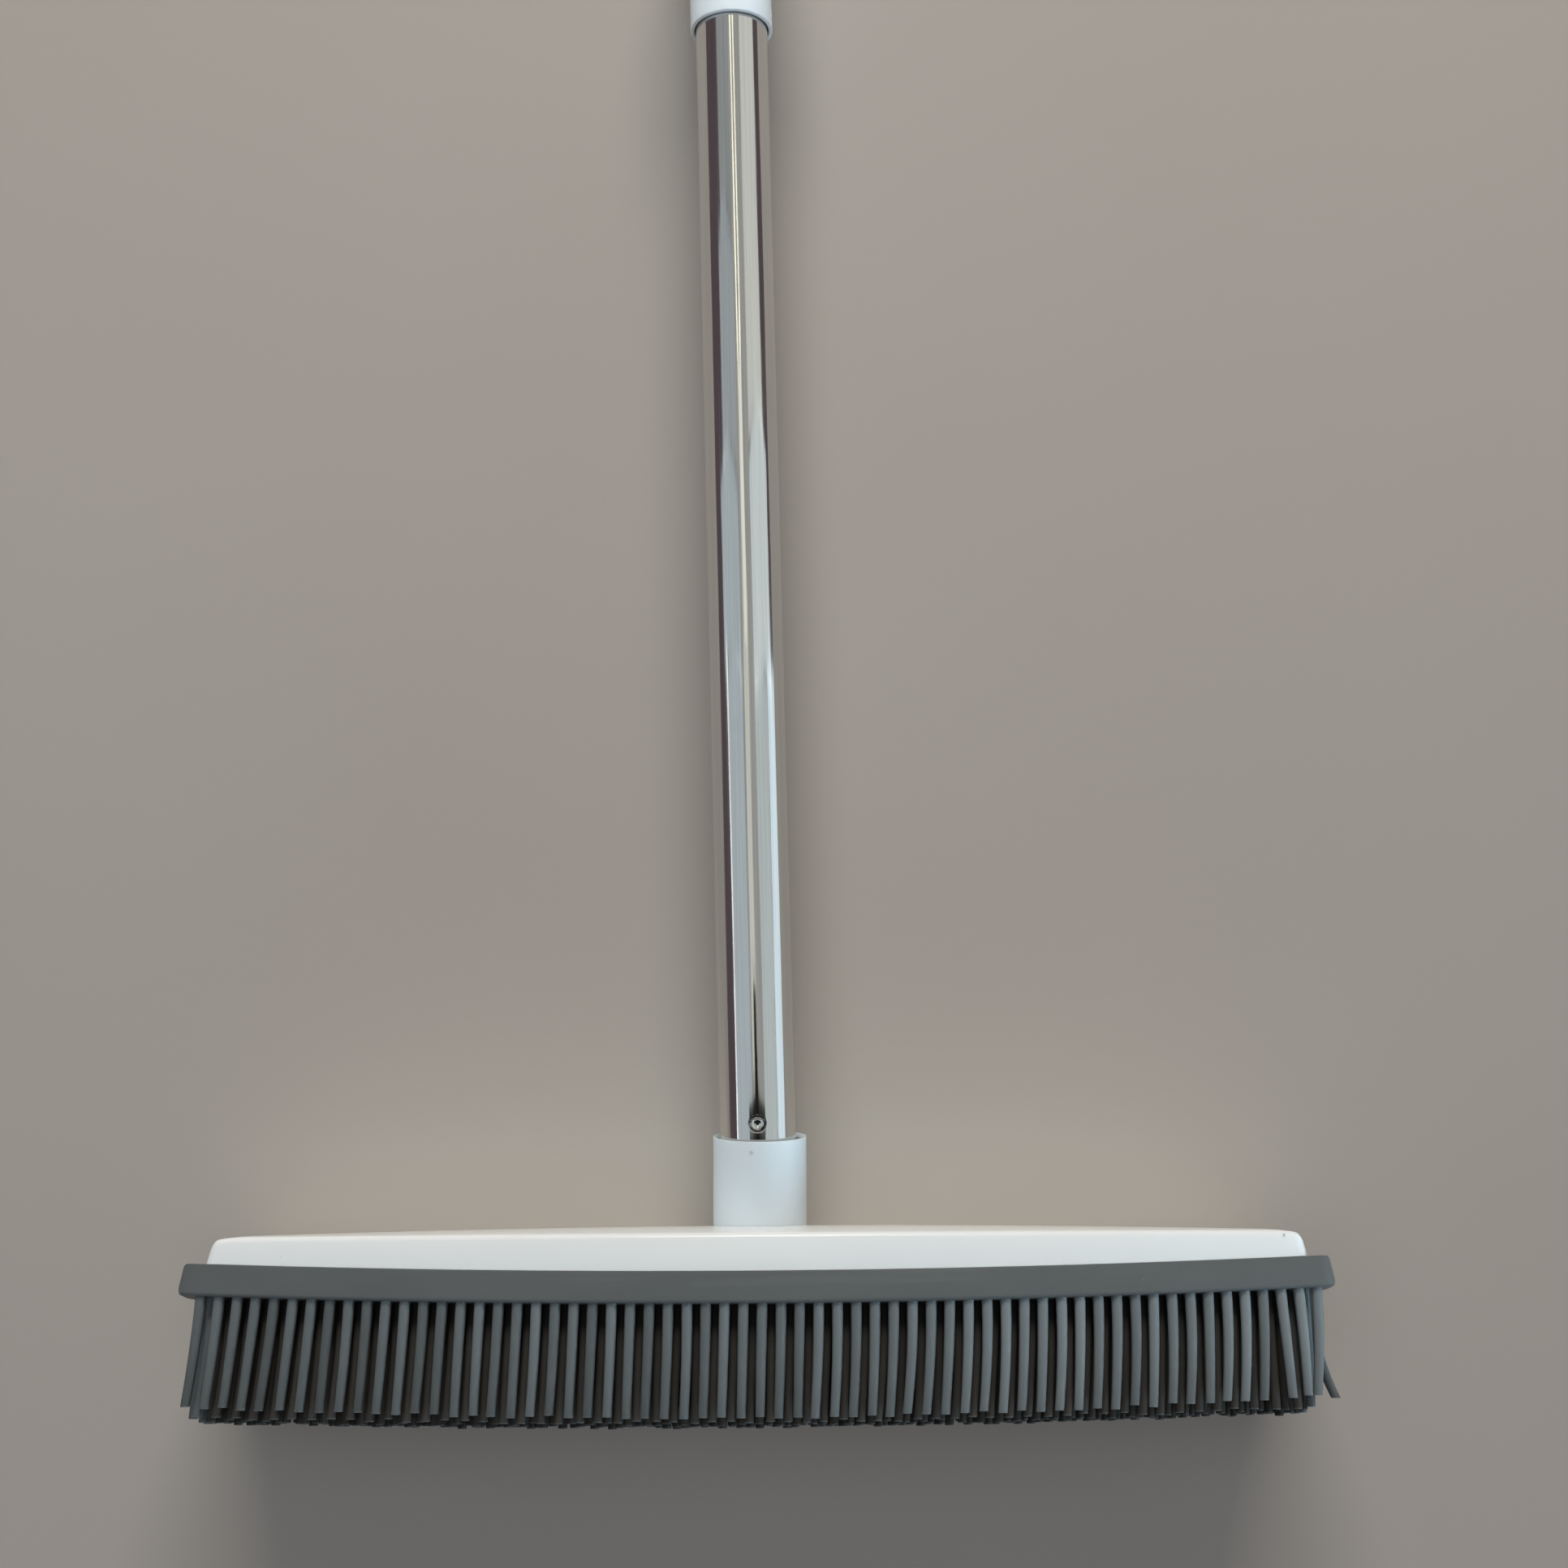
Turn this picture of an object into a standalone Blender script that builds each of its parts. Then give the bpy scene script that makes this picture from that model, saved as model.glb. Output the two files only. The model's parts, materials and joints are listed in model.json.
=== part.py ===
"""Carpet broom: a moulded rubber-bristle head on a two-part telescopic steel pole.

The broom lies on a flat floor, on the far side of its head and on the end of its pole.
+X runs along the head, +Y up the pole away from the bristles, +Z up from the floor.

Three empties carry the design.  pole_frame has its origin where the pole's axis meets the
top of the head, and its local Y is the pole's axis.  socket_frame shares that origin and is
turned about Z by the pole's sideways play in the socket.  head_frame is turned again about X
by the pole's lean, so its local Y points from the bristles to the pole, its local Z is the
head's depth and its local X its length.
"""
import math

import bmesh
import bpy
import numpy as np
from mathutils import Matrix, Vector

MM = 0.001
GAP = 0.3 * MM              # air between pieces that touch

# Head, in head_frame
LEAN = math.radians(15.0)   # pole against the bristles' direction
SIDE_LEAN = math.radians(1.25)  # play in the socket lets the pole lean this far sideways
SHELL_HALF = 150.6 * MM     # half length of the white shell at its rim
PAD_HALF = 157.7 * MM       # half length of the rubber pad
HEAD_DEEP = 26.0 * MM       # half depth at mid length
HEAD_BOW = 5.0 * MM         # how much less deep each side is at the ends
CREST_DROP = 2.2 * MM       # the crest is lower at the ends
SHOULDER_Y = -3.4 * MM      # top edge of the side walls
SHOULDER_R = 1.8 * MM
RIM_Y = -13.6 * MM          # shell rim at mid length
RIM_RISE = 3.1 * MM         # the rim is higher at the ends
SHELL_WALL = 2.4 * MM
END_SLOPE = math.radians(14.0)  # the shell's ends lean in towards the crest
SHELL_CORNER = 3.5 * MM     # plan radius of the shell's corners
PAD_CORNER = 4.0 * MM
PAD_SLOPE = math.radians(16.0)  # the same for the pad's ends
PAD_TALL = 8.2 * MM         # pad rim to pad lip
PAD_RECESS = 4.1 * MM       # pocket in the pad for the base plate
PAD_LAND = 5.0 * MM         # width of the pad's rim around that pocket
PAD_DOME = 3.5 * MM         # the underside bulges at mid depth
PLATE_DOWN = 1.6 * MM       # plate top below the shell rim
PLATE_THICK = 2.2 * MM
TIP_Y = -49.8 * MM          # front bristle tips at mid length
TIP_RISE = 2.5 * MM
FINGER_PITCH = 10.0 * MM
FINGER_ROWS = 5
FINGER_ROOT = 3.2 * MM      # half width of a bristle group at the pad
FINGER_TIP = 2.8 * MM
PLATE_SCREWS_X = (-125 * MM, -55 * MM, 55 * MM, 125 * MM)
SOCKET_SCREWS_X = (-20 * MM, 20 * MM)
BOSS_R = 3.6 * MM
SCREW_R = 1.5 * MM
SCREW_HEAD_R = 3.0 * MM
SCREW_HEAD_TALL = 1.8 * MM

# Pole, in pole_frame: distances along the pole's axis
SOCKET_R = 13.4 * MM
SOCKET_BORE_R = 12.2 * MM
SOCKET_RIM = 25.6 * MM
SOCKET_SHOULDER = 3.5 * MM
THREAD_BORE_R = 8.7 * MM
SOCKET_FOOT = -10.5 * MM
TUBE_R = 11.0 * MM
TUBE_WALL = 0.5 * MM
TUBE_START = 8.0 * MM
TUBE_END = 625.0 * MM
DIMPLE_Y = SOCKET_RIM + 4.8 * MM
DIMPLE_R = 3.6 * MM
DIMPLE_OUT = 13.2 * MM      # the dimple's ball sits this far from the axis
COLLAR_START = SOCKET_RIM + 333.0 * MM
COLLAR_LONG = 52.0 * MM
UPPER_R = 12.5 * MM
UPPER_START = COLLAR_START + 34.0 * MM
UPPER_END = 1000.0 * MM
GRIP_START = 872.0 * MM
GRIP_R = 14.5 * MM
CAP_END = 1036.0 * MM
ROUND = 36                  # sides of a round piece

FINISH = {                  # base colour, roughness, metallic
    "white_gloss": ((0.80, 0.82, 0.80), 0.28, 0.0),
    "grey_rubber": ((0.11, 0.12, 0.125), 0.55, 0.0),
    "white_nylon": ((0.74, 0.75, 0.74), 0.45, 0.0),
    "steel": ((0.62, 0.62, 0.61), 0.14, 1.0),
    "zinc": ((0.48, 0.48, 0.47), 0.35, 1.0),
}


# ---------------------------------------------------------------- scene helpers
def clear_scene():
    for obj in list(bpy.data.objects):
        bpy.data.objects.remove(obj)


def material(name):
    found = bpy.data.materials.get(name)
    if found:
        return found
    colour, roughness, metallic = FINISH[name]
    made = bpy.data.materials.new(name)
    made.use_nodes = True
    shader = made.node_tree.nodes["Principled BSDF"]
    shader.inputs["Base Color"].default_value = (*colour, 1)
    shader.inputs["Roughness"].default_value = roughness
    shader.inputs["Metallic"].default_value = metallic
    return made


def frame_empty(name, parent=None):
    empty = bpy.data.objects.new(name, None)
    empty.empty_display_size = 0.02
    bpy.context.collection.objects.link(empty)
    empty.parent = parent
    return empty


def solid(name, bm, parent, finish):
    """Turn a bmesh into a named object with outward faces."""
    bmesh.ops.recalc_face_normals(bm, faces=bm.faces)
    mesh = bpy.data.meshes.new(name)
    bm.to_mesh(mesh)
    bm.free()
    mesh.shade_smooth()
    mesh.set_sharp_from_angle(angle=math.radians(35))
    obj = bpy.data.objects.new(name, mesh)
    obj.parent = parent
    if finish:
        mesh.materials.append(material(finish))
    else:
        obj.hide_render = True
        obj.display_type = "WIRE"
    bpy.context.collection.objects.link(obj)
    return obj


def boolean(obj, tool, operation):
    modifier = obj.modifiers.new(tool.name, "BOOLEAN")
    modifier.operation = operation
    modifier.solver = "EXACT"
    modifier.object = tool


# ---------------------------------------------------------------- mesh helpers
def add_lathe(bm, outline, sides=ROUND, frame=Matrix.Identity(4)):
    """Turn an outline of (radius, y) points about the Y axis; r = 0 closes on the axis."""
    rings = []
    for radius, y in outline:
        if radius == 0:
            rings.append([bm.verts.new(frame @ Vector((0, y, 0)))])
            continue
        angles = [2 * math.pi * i / sides for i in range(sides)]
        points = [Vector((radius * math.cos(a), y, radius * math.sin(a))) for a in angles]
        rings.append([bm.verts.new(frame @ p) for p in points])
    pairs = list(zip(rings, rings[1:]))
    if outline[0][0] and outline[-1][0]:
        pairs.append((rings[-1], rings[0]))
    for low, high in pairs:
        for i in range(sides):
            j = (i + 1) % sides
            corners = [low[i % len(low)], low[j % len(low)], high[j % len(high)], high[i % len(high)]]
            face = list(dict.fromkeys(corners))
            if len(face) > 2:
                bm.faces.new(face)


def add_rod(bm, radius, y0, y1, x=0.0, z=0.0, sides=16):
    add_lathe(bm, [(0, y0), (radius, y0), (radius, y1), (0, y1)], sides, Matrix.Translation((x, 0, z)))


def add_loft(bm, rings):
    """Skin rings of equal count and cap both ends."""
    loops = [[bm.verts.new(p) for p in ring] for ring in rings]
    count = len(loops[0])
    for low, high in zip(loops, loops[1:]):
        for i in range(count):
            j = (i + 1) % count
            bm.faces.new((low[i], low[j], high[j], high[i]))
    bm.faces.new(loops[0])
    bm.faces.new(loops[-1])


def add_box(bm, low, high):
    made = bmesh.ops.create_cube(bm, size=1.0)["verts"]
    low, high = Vector(low), Vector(high)
    middle, size = (low + high) / 2, high - low
    for vert in made:
        vert.co = middle + Vector(c * s for c, s in zip(vert.co, size))


def lathe(name, outline, parent, finish, sides=ROUND):
    bm = bmesh.new()
    add_lathe(bm, outline, sides)
    return solid(name, bm, parent, finish)


def arc(centre, radius, start, end, steps):
    """Points on an arc, angles in degrees."""
    angles = [math.radians(start + (end - start) * i / steps) for i in range(steps + 1)]
    return [(centre[0] + radius * math.cos(a), centre[1] + radius * math.sin(a)) for a in angles]


# ---------------------------------------------------------------- head surfaces
def deep(x):
    return HEAD_DEEP - HEAD_BOW * (x / PAD_HALF) ** 2


def rim(x):
    return RIM_Y + RIM_RISE * (x / SHELL_HALF) ** 2


def crest(x):
    return -CREST_DROP * (x / SHELL_HALF) ** 2


def rounding(radius, edge):
    """How far a corner of this radius draws in, at this distance from the end."""
    if edge >= radius:
        return 0.0
    return radius - math.sqrt(radius ** 2 - (radius - edge) ** 2)


def stations(half, steps, ends):
    """Places along the head: even in the middle, closer together at the rounded ends."""
    inner = half - ends[-1]
    middle = [inner * (2 * i / steps - 1) for i in range(steps + 1)]
    left = [-half + e for e in ends[:-1]]
    return left + middle + [-x for x in reversed(left)]


def shell_ring(x, inset, below):
    """Cross-section of the shell: wall, rounded shoulder and domed roof, drawn in by inset."""
    edge = SHELL_HALF - abs(x)
    z_wall = deep(x) - rounding(SHELL_CORNER, edge) - inset
    sink = rounding(SHOULDER_R, edge)
    foot = rim(x) - below
    centre = (z_wall - SHOULDER_R, SHOULDER_Y - SHOULDER_R - inset - sink)
    side = [(z_wall, foot)] + arc(centre, SHOULDER_R, 0, 72, 3)
    z_roof, y_roof = side[-1]
    top = crest(x) - inset - sink
    for share in (0.75, 0.5, 0.25):
        side.append((z_roof * share, top + (y_roof - top) * share ** 2))
    outline = side + [(0, top)] + [(-z, y) for z, y in reversed(side)]
    ring = []
    for z, y in outline:
        lean_in = max(0.0, y - rim(x)) * math.tan(END_SLOPE) / SHELL_HALF
        ring.append((x * (1 - lean_in), y, z))
    return ring


def shell_block(inset, below, half):
    bm = bmesh.new()
    ends = [0.0, 0.3 * MM, 0.9 * MM, 2.0 * MM, 4.0 * MM]
    places = stations(SHELL_HALF, 12, ends)
    rings = [shell_ring(x * half / SHELL_HALF, inset, below) for x in places]
    add_loft(bm, rings)
    return bm


def pad_under(x, z):
    """Height of the pad's domed underside."""
    share = min(1.0, abs(z) / deep(x))
    return rim(x) - PAD_TALL - PAD_DOME * (1 - share ** 2)


def bristle_tip(x, z):
    share = min(1.0, abs(z) / deep(x))
    return TIP_Y + TIP_RISE * (x / PAD_HALF) ** 2 - PAD_DOME * (1 - share ** 2)


def pad_ring(x):
    edge = PAD_HALF - abs(x)
    z_wall = deep(x) + GAP - rounding(PAD_CORNER, edge)
    top = rim(x) - GAP - rounding(1.2 * MM, edge)
    lip = 1.5 * MM
    side = [(z_wall - 0.4 * MM, top), (z_wall, top - 0.5 * MM), (z_wall, rim(x) - PAD_TALL + lip)]
    side.append((z_wall - 0.45 * MM, rim(x) - PAD_TALL + 0.45 * MM))
    for share in (0.93, 0.7, 0.4):
        side.append((z_wall * share, pad_under(x, z_wall * share)))
    outline = side + [(0, pad_under(x, 0))] + [(-z, y) for z, y in reversed(side)]
    ring = []
    for z, y in outline:
        lean_in = max(0.0, y - rim(x) + PAD_TALL) * math.tan(PAD_SLOPE) / PAD_HALF
        ring.append((x * (1 - lean_in), y, z))
    return ring


def plate_rings(grow, top_up, thick):
    """A plate that follows the rim's curve; grow widens it, top_up raises its top."""
    half = SHELL_HALF - PAD_LAND + grow
    rings = []
    for x in stations(half, 10, [0.0, 1.0 * MM, 3.0 * MM]):
        z = deep(x) - PAD_LAND + grow - rounding(4 * MM, half - abs(x))
        top = rim(x) - PLATE_DOWN + top_up
        low = rim(x) - PLATE_DOWN - thick
        rings.append([(x, low, z), (x, top, z), (x, top, -z), (x, low, -z)])
    return rings


# ---------------------------------------------------------------- head pieces
def socket_flange(bm, grow=0.0):
    add_box(bm, (-26 * MM - grow, -11.0 * MM, -10 * MM - grow), (26 * MM + grow, -8.6 * MM, 10 * MM + grow))


def make_head_shell(head, socket_frame):
    shell = solid("head_shell", shell_block(0, 0, SHELL_HALF), head, "white_gloss")
    cavity = solid("cut_shell_cavity", shell_block(SHELL_WALL, 4 * MM, SHELL_HALF - SHELL_WALL), head, None)
    boolean(shell, cavity, "DIFFERENCE")
    hole = bmesh.new()
    add_rod(hole, SOCKET_R + GAP, -20 * MM, 12 * MM, sides=ROUND)
    boolean(shell, solid("cut_shell_socket_hole", hole, socket_frame, None), "DIFFERENCE")
    bosses = bmesh.new()
    for x in PLATE_SCREWS_X:
        foot = rim(x) - PLATE_DOWN + GAP
        add_rod(bosses, BOSS_R, foot, crest(x) - SHELL_WALL / 2, x)
    for x in SOCKET_SCREWS_X:
        add_rod(bosses, BOSS_R, -8.6 * MM + GAP, crest(x) - SHELL_WALL / 2, x)
    boolean(shell, solid("add_shell_bosses", bosses, head, None), "UNION")
    pilots = bmesh.new()
    for x in PLATE_SCREWS_X:
        add_rod(pilots, SCREW_R + GAP, rim(x) - 6 * MM, -5 * MM, x)
    for x in SOCKET_SCREWS_X:
        add_rod(pilots, SCREW_R + GAP, -14 * MM, -3.8 * MM, x)
    boolean(shell, solid("cut_shell_pilots", pilots, head, None), "DIFFERENCE")


def make_handle_socket(head, socket_frame):
    outline = [(SOCKET_R, SOCKET_FOOT), (SOCKET_R, SOCKET_RIM - 0.4 * MM), (SOCKET_R - 0.4 * MM, SOCKET_RIM),
               (SOCKET_BORE_R + 0.3 * MM, SOCKET_RIM), (SOCKET_BORE_R, SOCKET_RIM - 0.5 * MM),
               (SOCKET_BORE_R, SOCKET_SHOULDER), (THREAD_BORE_R, SOCKET_SHOULDER),
               (THREAD_BORE_R, SOCKET_FOOT)]
    socket = lathe("handle_socket", outline, socket_frame, "white_gloss")
    flange = bmesh.new()
    socket_flange(flange)
    boolean(socket, solid("add_socket_flange", flange, head, None), "UNION")
    bore = bmesh.new()
    add_rod(bore, THREAD_BORE_R, -20 * MM, SOCKET_SHOULDER - 1 * MM, sides=ROUND)
    boolean(socket, solid("cut_socket_bore", bore, socket_frame, None), "DIFFERENCE")
    holes = bmesh.new()
    for x in SOCKET_SCREWS_X:
        add_rod(holes, SCREW_R + GAP, -13 * MM, -6 * MM, x)
    boolean(socket, solid("cut_socket_screw_holes", holes, head, None), "DIFFERENCE")


def make_screw(name, head, x, seat, tip):
    """Pan-head screw: its head hangs below the seat and its shank points up."""
    low = seat - GAP - SCREW_HEAD_TALL
    outline = [(0, low), (SCREW_HEAD_R * 0.7, low), (SCREW_HEAD_R, low + 0.7 * MM), (SCREW_HEAD_R, seat - GAP),
               (SCREW_R, seat - GAP), (SCREW_R, tip - 1.2 * MM), (0.4 * MM, tip), (0, tip)]
    screw = lathe(name, outline, head, "zinc", 10)
    screw.location.x = x
    slot = bmesh.new()
    for half_x, half_z in ((1.9 * MM, 0.35 * MM), (0.35 * MM, 1.9 * MM)):
        add_box(slot, (-half_x, low - 1 * MM, -half_z), (half_x, low + 0.9 * MM, half_z))
        drive = solid(f"cut_{name}_{int(half_x > half_z)}", slot, head, None)
        drive.location.x = x
        boolean(screw, drive, "DIFFERENCE")
        slot = bmesh.new()
    slot.free()


def make_base_plate(head):
    bm = bmesh.new()
    add_loft(bm, plate_rings(-GAP, 0, PLATE_THICK))
    plate = solid("base_plate", bm, head, "white_nylon")
    holes = bmesh.new()
    for x in PLATE_SCREWS_X:
        add_rod(holes, SCREW_R + GAP, rim(x) - 8 * MM, rim(x) + 2 * MM, x)
    boolean(plate, solid("cut_plate_holes", holes, head, None), "DIFFERENCE")


def finger_places():
    """Bristle groups on a grid that follows the head's bow, clear of the screw wells."""
    columns = int(2 * (PAD_HALF - 6 * MM) / FINGER_PITCH)
    for row in range(FINGER_ROWS):
        for column in range(columns):
            x = (column - (columns - 1) / 2) * FINGER_PITCH
            share = (row - (FINGER_ROWS - 1) / 2) / ((FINGER_ROWS - 1) / 2)
            z = share * (deep(x) - 4.6 * MM)
            if abs(share) > 0.1 or min(abs(x - s) for s in PLATE_SCREWS_X) > 7 * MM:
                yield x, z


def make_bristle_pad(head):
    bm = bmesh.new()
    places = stations(PAD_HALF, 14, [0.0, 0.3 * MM, 1.0 * MM, 2.3 * MM, 4.5 * MM])
    add_loft(bm, [pad_ring(x) for x in places])
    pad = solid("bristle_pad", bm, head, "grey_rubber")
    pocket = bmesh.new()
    rings = plate_rings(0, 6 * MM, PAD_RECESS - PLATE_DOWN)
    add_loft(pocket, rings)
    boolean(pad, solid("cut_pad_pocket", pocket, head, None), "DIFFERENCE")
    fingers = bmesh.new()
    for x, z in finger_places():
        root, tip = pad_under(x, z) + 1.6 * MM, bristle_tip(x, z)
        rings = []
        for y, half in ((root, FINGER_ROOT), (tip, FINGER_TIP)):
            rings.append([(x + a * half, y, z + b * half) for a, b in ((1, 1), (1, -1), (-1, -1), (-1, 1))])
        add_loft(fingers, rings)
    boolean(pad, solid("add_pad_fingers", fingers, head, None), "UNION")
    wells = bmesh.new()
    for x in PLATE_SCREWS_X:
        add_rod(wells, SCREW_HEAD_R + 0.6 * MM, rim(x) - 20 * MM, rim(x), x)
    boolean(pad, solid("cut_pad_wells", wells, head, None), "DIFFERENCE")


# ---------------------------------------------------------------- lower pole pieces
def ball(name, radius, parent):
    bm = bmesh.new()
    bmesh.ops.create_uvsphere(bm, u_segments=20, v_segments=12, radius=radius)
    made = solid(name, bm, parent, None)
    made.location = (0, DIMPLE_Y, DIMPLE_OUT)
    return made


def make_lower_tube(pole):
    inner = TUBE_R - TUBE_WALL
    outline = [(TUBE_R, TUBE_START), (TUBE_R, TUBE_END), (inner, TUBE_END), (inner, TUBE_START)]
    tube = lathe("lower_tube", outline, pole, "steel")
    boolean(tube, ball("add_dimple_wall", DIMPLE_R + TUBE_WALL, pole), "UNION")
    keep = bmesh.new()
    add_lathe(keep, [(0, TUBE_START - 1 * MM), (TUBE_R, TUBE_START - 1 * MM), (TUBE_R, TUBE_END + 1 * MM),
                     (0, TUBE_END + 1 * MM)])
    boolean(tube, solid("keep_inside_tube", keep, pole, None), "INTERSECT")
    boolean(tube, ball("cut_dimple", DIMPLE_R, pole), "DIFFERENCE")


def make_thread_plug(pole):
    """Plug crimped into the tube's lower end, with the screw thread that the socket takes."""
    body = TUBE_R - TUBE_WALL - GAP
    shoulder = TUBE_START - GAP
    pitch, turns_from, turns_to = 4.0 * MM, SOCKET_FOOT + 3 * MM, SOCKET_SHOULDER - 0.2 * MM
    bm = bmesh.new()
    sides, rows = 20, 20
    rings = []
    for k in range(rows + 1):
        y = turns_from + (turns_to - turns_from) * k / rows
        fade = min(1.0, k / 3, (rows - k) / 3)
        ring = []
        for i in range(sides):
            angle = 2 * math.pi * i / sides
            wave = 0.5 + 0.5 * math.cos(2 * math.pi * y / pitch - angle)
            radius = 7.3 * MM + 1.0 * MM * wave * fade
            ring.append((radius * math.cos(angle), y, radius * math.sin(angle)))
        rings.append(ring)
    for radius, y in ((7.3 * MM, SOCKET_SHOULDER + GAP), (TUBE_R - 0.1 * MM, SOCKET_SHOULDER + GAP),
                      (TUBE_R - 0.1 * MM, shoulder), (body, shoulder), (body, TUBE_START + 34 * MM),
                      (body - 1.5 * MM, TUBE_START + 36 * MM)):
        ring = []
        for i in range(sides):
            angle = 2 * math.pi * i / sides
            ring.append((radius * math.cos(angle), y, radius * math.sin(angle)))
        rings.append(ring)
    add_loft(bm, rings)
    plug = solid("thread_plug", bm, pole, "white_nylon")
    boolean(plug, ball("cut_plug_dimple", DIMPLE_R + TUBE_WALL + GAP, pole), "DIFFERENCE")


def make_guide_bush(pole):
    """Bush on the lower tube's top end that slides inside the upper tube."""
    stem = TUBE_R - TUBE_WALL - GAP
    slide = UPPER_R - TUBE_WALL - GAP
    outline = [(stem - 1.5 * MM, TUBE_END - 26 * MM), (stem, TUBE_END - 24 * MM), (stem, TUBE_END + GAP),
               (slide, TUBE_END + GAP), (slide, TUBE_END + 4 * MM), (slide - 1 * MM, TUBE_END + 5 * MM),
               (slide - 1 * MM, TUBE_END + 9 * MM), (slide, TUBE_END + 10 * MM), (slide, TUBE_END + 14 * MM),
               (slide - 1 * MM, TUBE_END + 15 * MM), (7 * MM, TUBE_END + 15 * MM), (7 * MM, TUBE_END - 26 * MM)]
    lathe("guide_bush", outline, pole, "white_nylon")


# ---------------------------------------------------------------- upper pole pieces
def make_upper_tube(pole):
    inner = UPPER_R - TUBE_WALL
    outline = [(UPPER_R, UPPER_START), (UPPER_R, UPPER_END), (inner, UPPER_END), (inner, UPPER_START)]
    lathe("upper_tube", outline, pole, "steel")


def make_thread_sleeve(pole):
    """Sleeve fixed on the upper tube's lower end, which the collar screws onto."""
    inside, outside = UPPER_R + GAP, UPPER_R + 1.3 * MM
    stop = UPPER_START - GAP
    outline = [(TUBE_R + GAP, stop - 2 * MM), (outside, stop - 2 * MM), (outside, UPPER_START + 12 * MM),
               (inside, UPPER_START + 12 * MM), (inside, stop), (TUBE_R + GAP, stop)]
    lathe("thread_sleeve", outline, pole, "white_nylon")


def make_collet_ring(pole):
    """Loose split ring that the collar's cone squeezes onto the lower tube."""
    grip, end = TUBE_R + GAP, UPPER_START - 2 * MM - 2 * GAP
    start = end - 13 * MM
    outline = [(grip, start), (grip + 0.7 * MM, start), (grip + 2.2 * MM, start + 8 * MM), (grip + 2.2 * MM, end),
               (grip, end)]
    ring = lathe("collet_ring", outline, pole, "white_nylon")
    slot = bmesh.new()
    add_box(slot, (-1 * MM, start - 2 * MM, -20 * MM), (1 * MM, end + 2 * MM, 0))
    boolean(ring, solid("cut_collet_slot", slot, pole, None), "DIFFERENCE")


def make_locking_collar(pole):
    """Twist collar: a plain sleeve at its lower end, then a wider fluted grip."""
    start, end = COLLAR_START, COLLAR_START + COLLAR_LONG
    bore, chamber = TUBE_R + 0.6 * MM, UPPER_R + 1.6 * MM
    full = chamber + 1.7 * MM
    outline = [(UPPER_R - 0.3 * MM, start), (UPPER_R, start + 0.3 * MM), (UPPER_R, start + 15 * MM),
               (UPPER_R + 1.2 * MM, start + 18 * MM), (full, start + 23 * MM), (full, end - 5 * MM),
               (full - 1 * MM, end), (chamber, end), (chamber, start + 24 * MM), (bore + 1.4 * MM, start + 17.5 * MM),
               (bore, start + 14 * MM), (bore, start)]
    collar = lathe("locking_collar", outline, pole, "white_gloss", 48)
    flutes = bmesh.new()
    count = 16
    for k in range(count):
        angle = 2 * math.pi * k / count
        place = Matrix.Translation(((full + 1.3 * MM) * math.cos(angle), 0, (full + 1.3 * MM) * math.sin(angle)))
        add_lathe(flutes, [(0, start + 25 * MM), (2.0 * MM, start + 27 * MM), (2.0 * MM, end - 8 * MM),
                           (0, end - 6 * MM)], 8, place)
    boolean(collar, solid("cut_collar_flutes", flutes, pole, None), "DIFFERENCE")


def make_grip(pole):
    """Ribbed sleeve on the upper tube's top end."""
    inner, rib = UPPER_R + GAP, 0.9 * MM
    outline = [(inner, GRIP_START), (GRIP_R - 1 * MM, GRIP_START), (GRIP_R, GRIP_START + 2 * MM)]
    y = GRIP_START + 12 * MM
    while y < UPPER_END - 20 * MM:
        outline += [(GRIP_R, y), (GRIP_R - rib, y + 1 * MM), (GRIP_R - rib, y + 3 * MM), (GRIP_R, y + 4 * MM)]
        y += 20 * MM
    outline += [(GRIP_R, UPPER_END), (inner, UPPER_END)]
    lathe("handle_grip", outline, pole, "grey_rubber", 28)


def make_end_cap(pole):
    """Cap with a flat-ended hanging eye, plugged into the upper tube."""
    stem = UPPER_R - TUBE_WALL - GAP
    outline = [(0, UPPER_END - 16 * MM), (stem - 1 * MM, UPPER_END - 16 * MM), (stem, UPPER_END - 14 * MM),
               (stem, UPPER_END + GAP), (GRIP_R, UPPER_END + GAP), (GRIP_R, UPPER_END + 4 * MM),
               (GRIP_R - 1.5 * MM, UPPER_END + 6 * MM), (0, UPPER_END + 6 * MM)]
    cap = lathe("end_cap", outline, pole, "white_gloss")
    half, thick = 12 * MM, 4 * MM
    root = UPPER_END + 4.5 * MM
    corner = 7 * MM
    edge = [(half, root)] + arc((half - corner, CAP_END - corner), corner, 0, 90, 5)
    edge += arc((corner - half, CAP_END - corner), corner, 90, 180, 5) + [(-half, root)]
    eye = bmesh.new()
    add_loft(eye, [[(x, y, z) for x, y in edge] for z in (-thick, thick)])
    boolean(cap, solid("add_cap_eye", eye, pole, None), "UNION")
    slot = bmesh.new()
    slot_r, low, high = 5 * MM, UPPER_END + 14 * MM, CAP_END - 12 * MM
    ring = arc((0, high), slot_r, 0, 180, 8) + arc((0, low), slot_r, 180, 360, 8)
    add_loft(slot, [[(x, y, z) for x, y in ring] for z in (-10 * MM, 10 * MM)])
    boolean(cap, solid("cut_cap_slot", slot, pole, None), "DIFFERENCE")


# ---------------------------------------------------------------- rest on the floor
def pole_points(names, pole):
    """Evaluated corners of these pieces, in pole_frame."""
    graph = bpy.context.evaluated_depsgraph_get()
    back = pole.matrix_world.inverted()
    found = []
    for name in names:
        obj = bpy.data.objects[name].evaluated_get(graph)
        place = back @ obj.matrix_world
        found += [place @ v.co for v in obj.data.vertices]
    return np.array(found)


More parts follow.
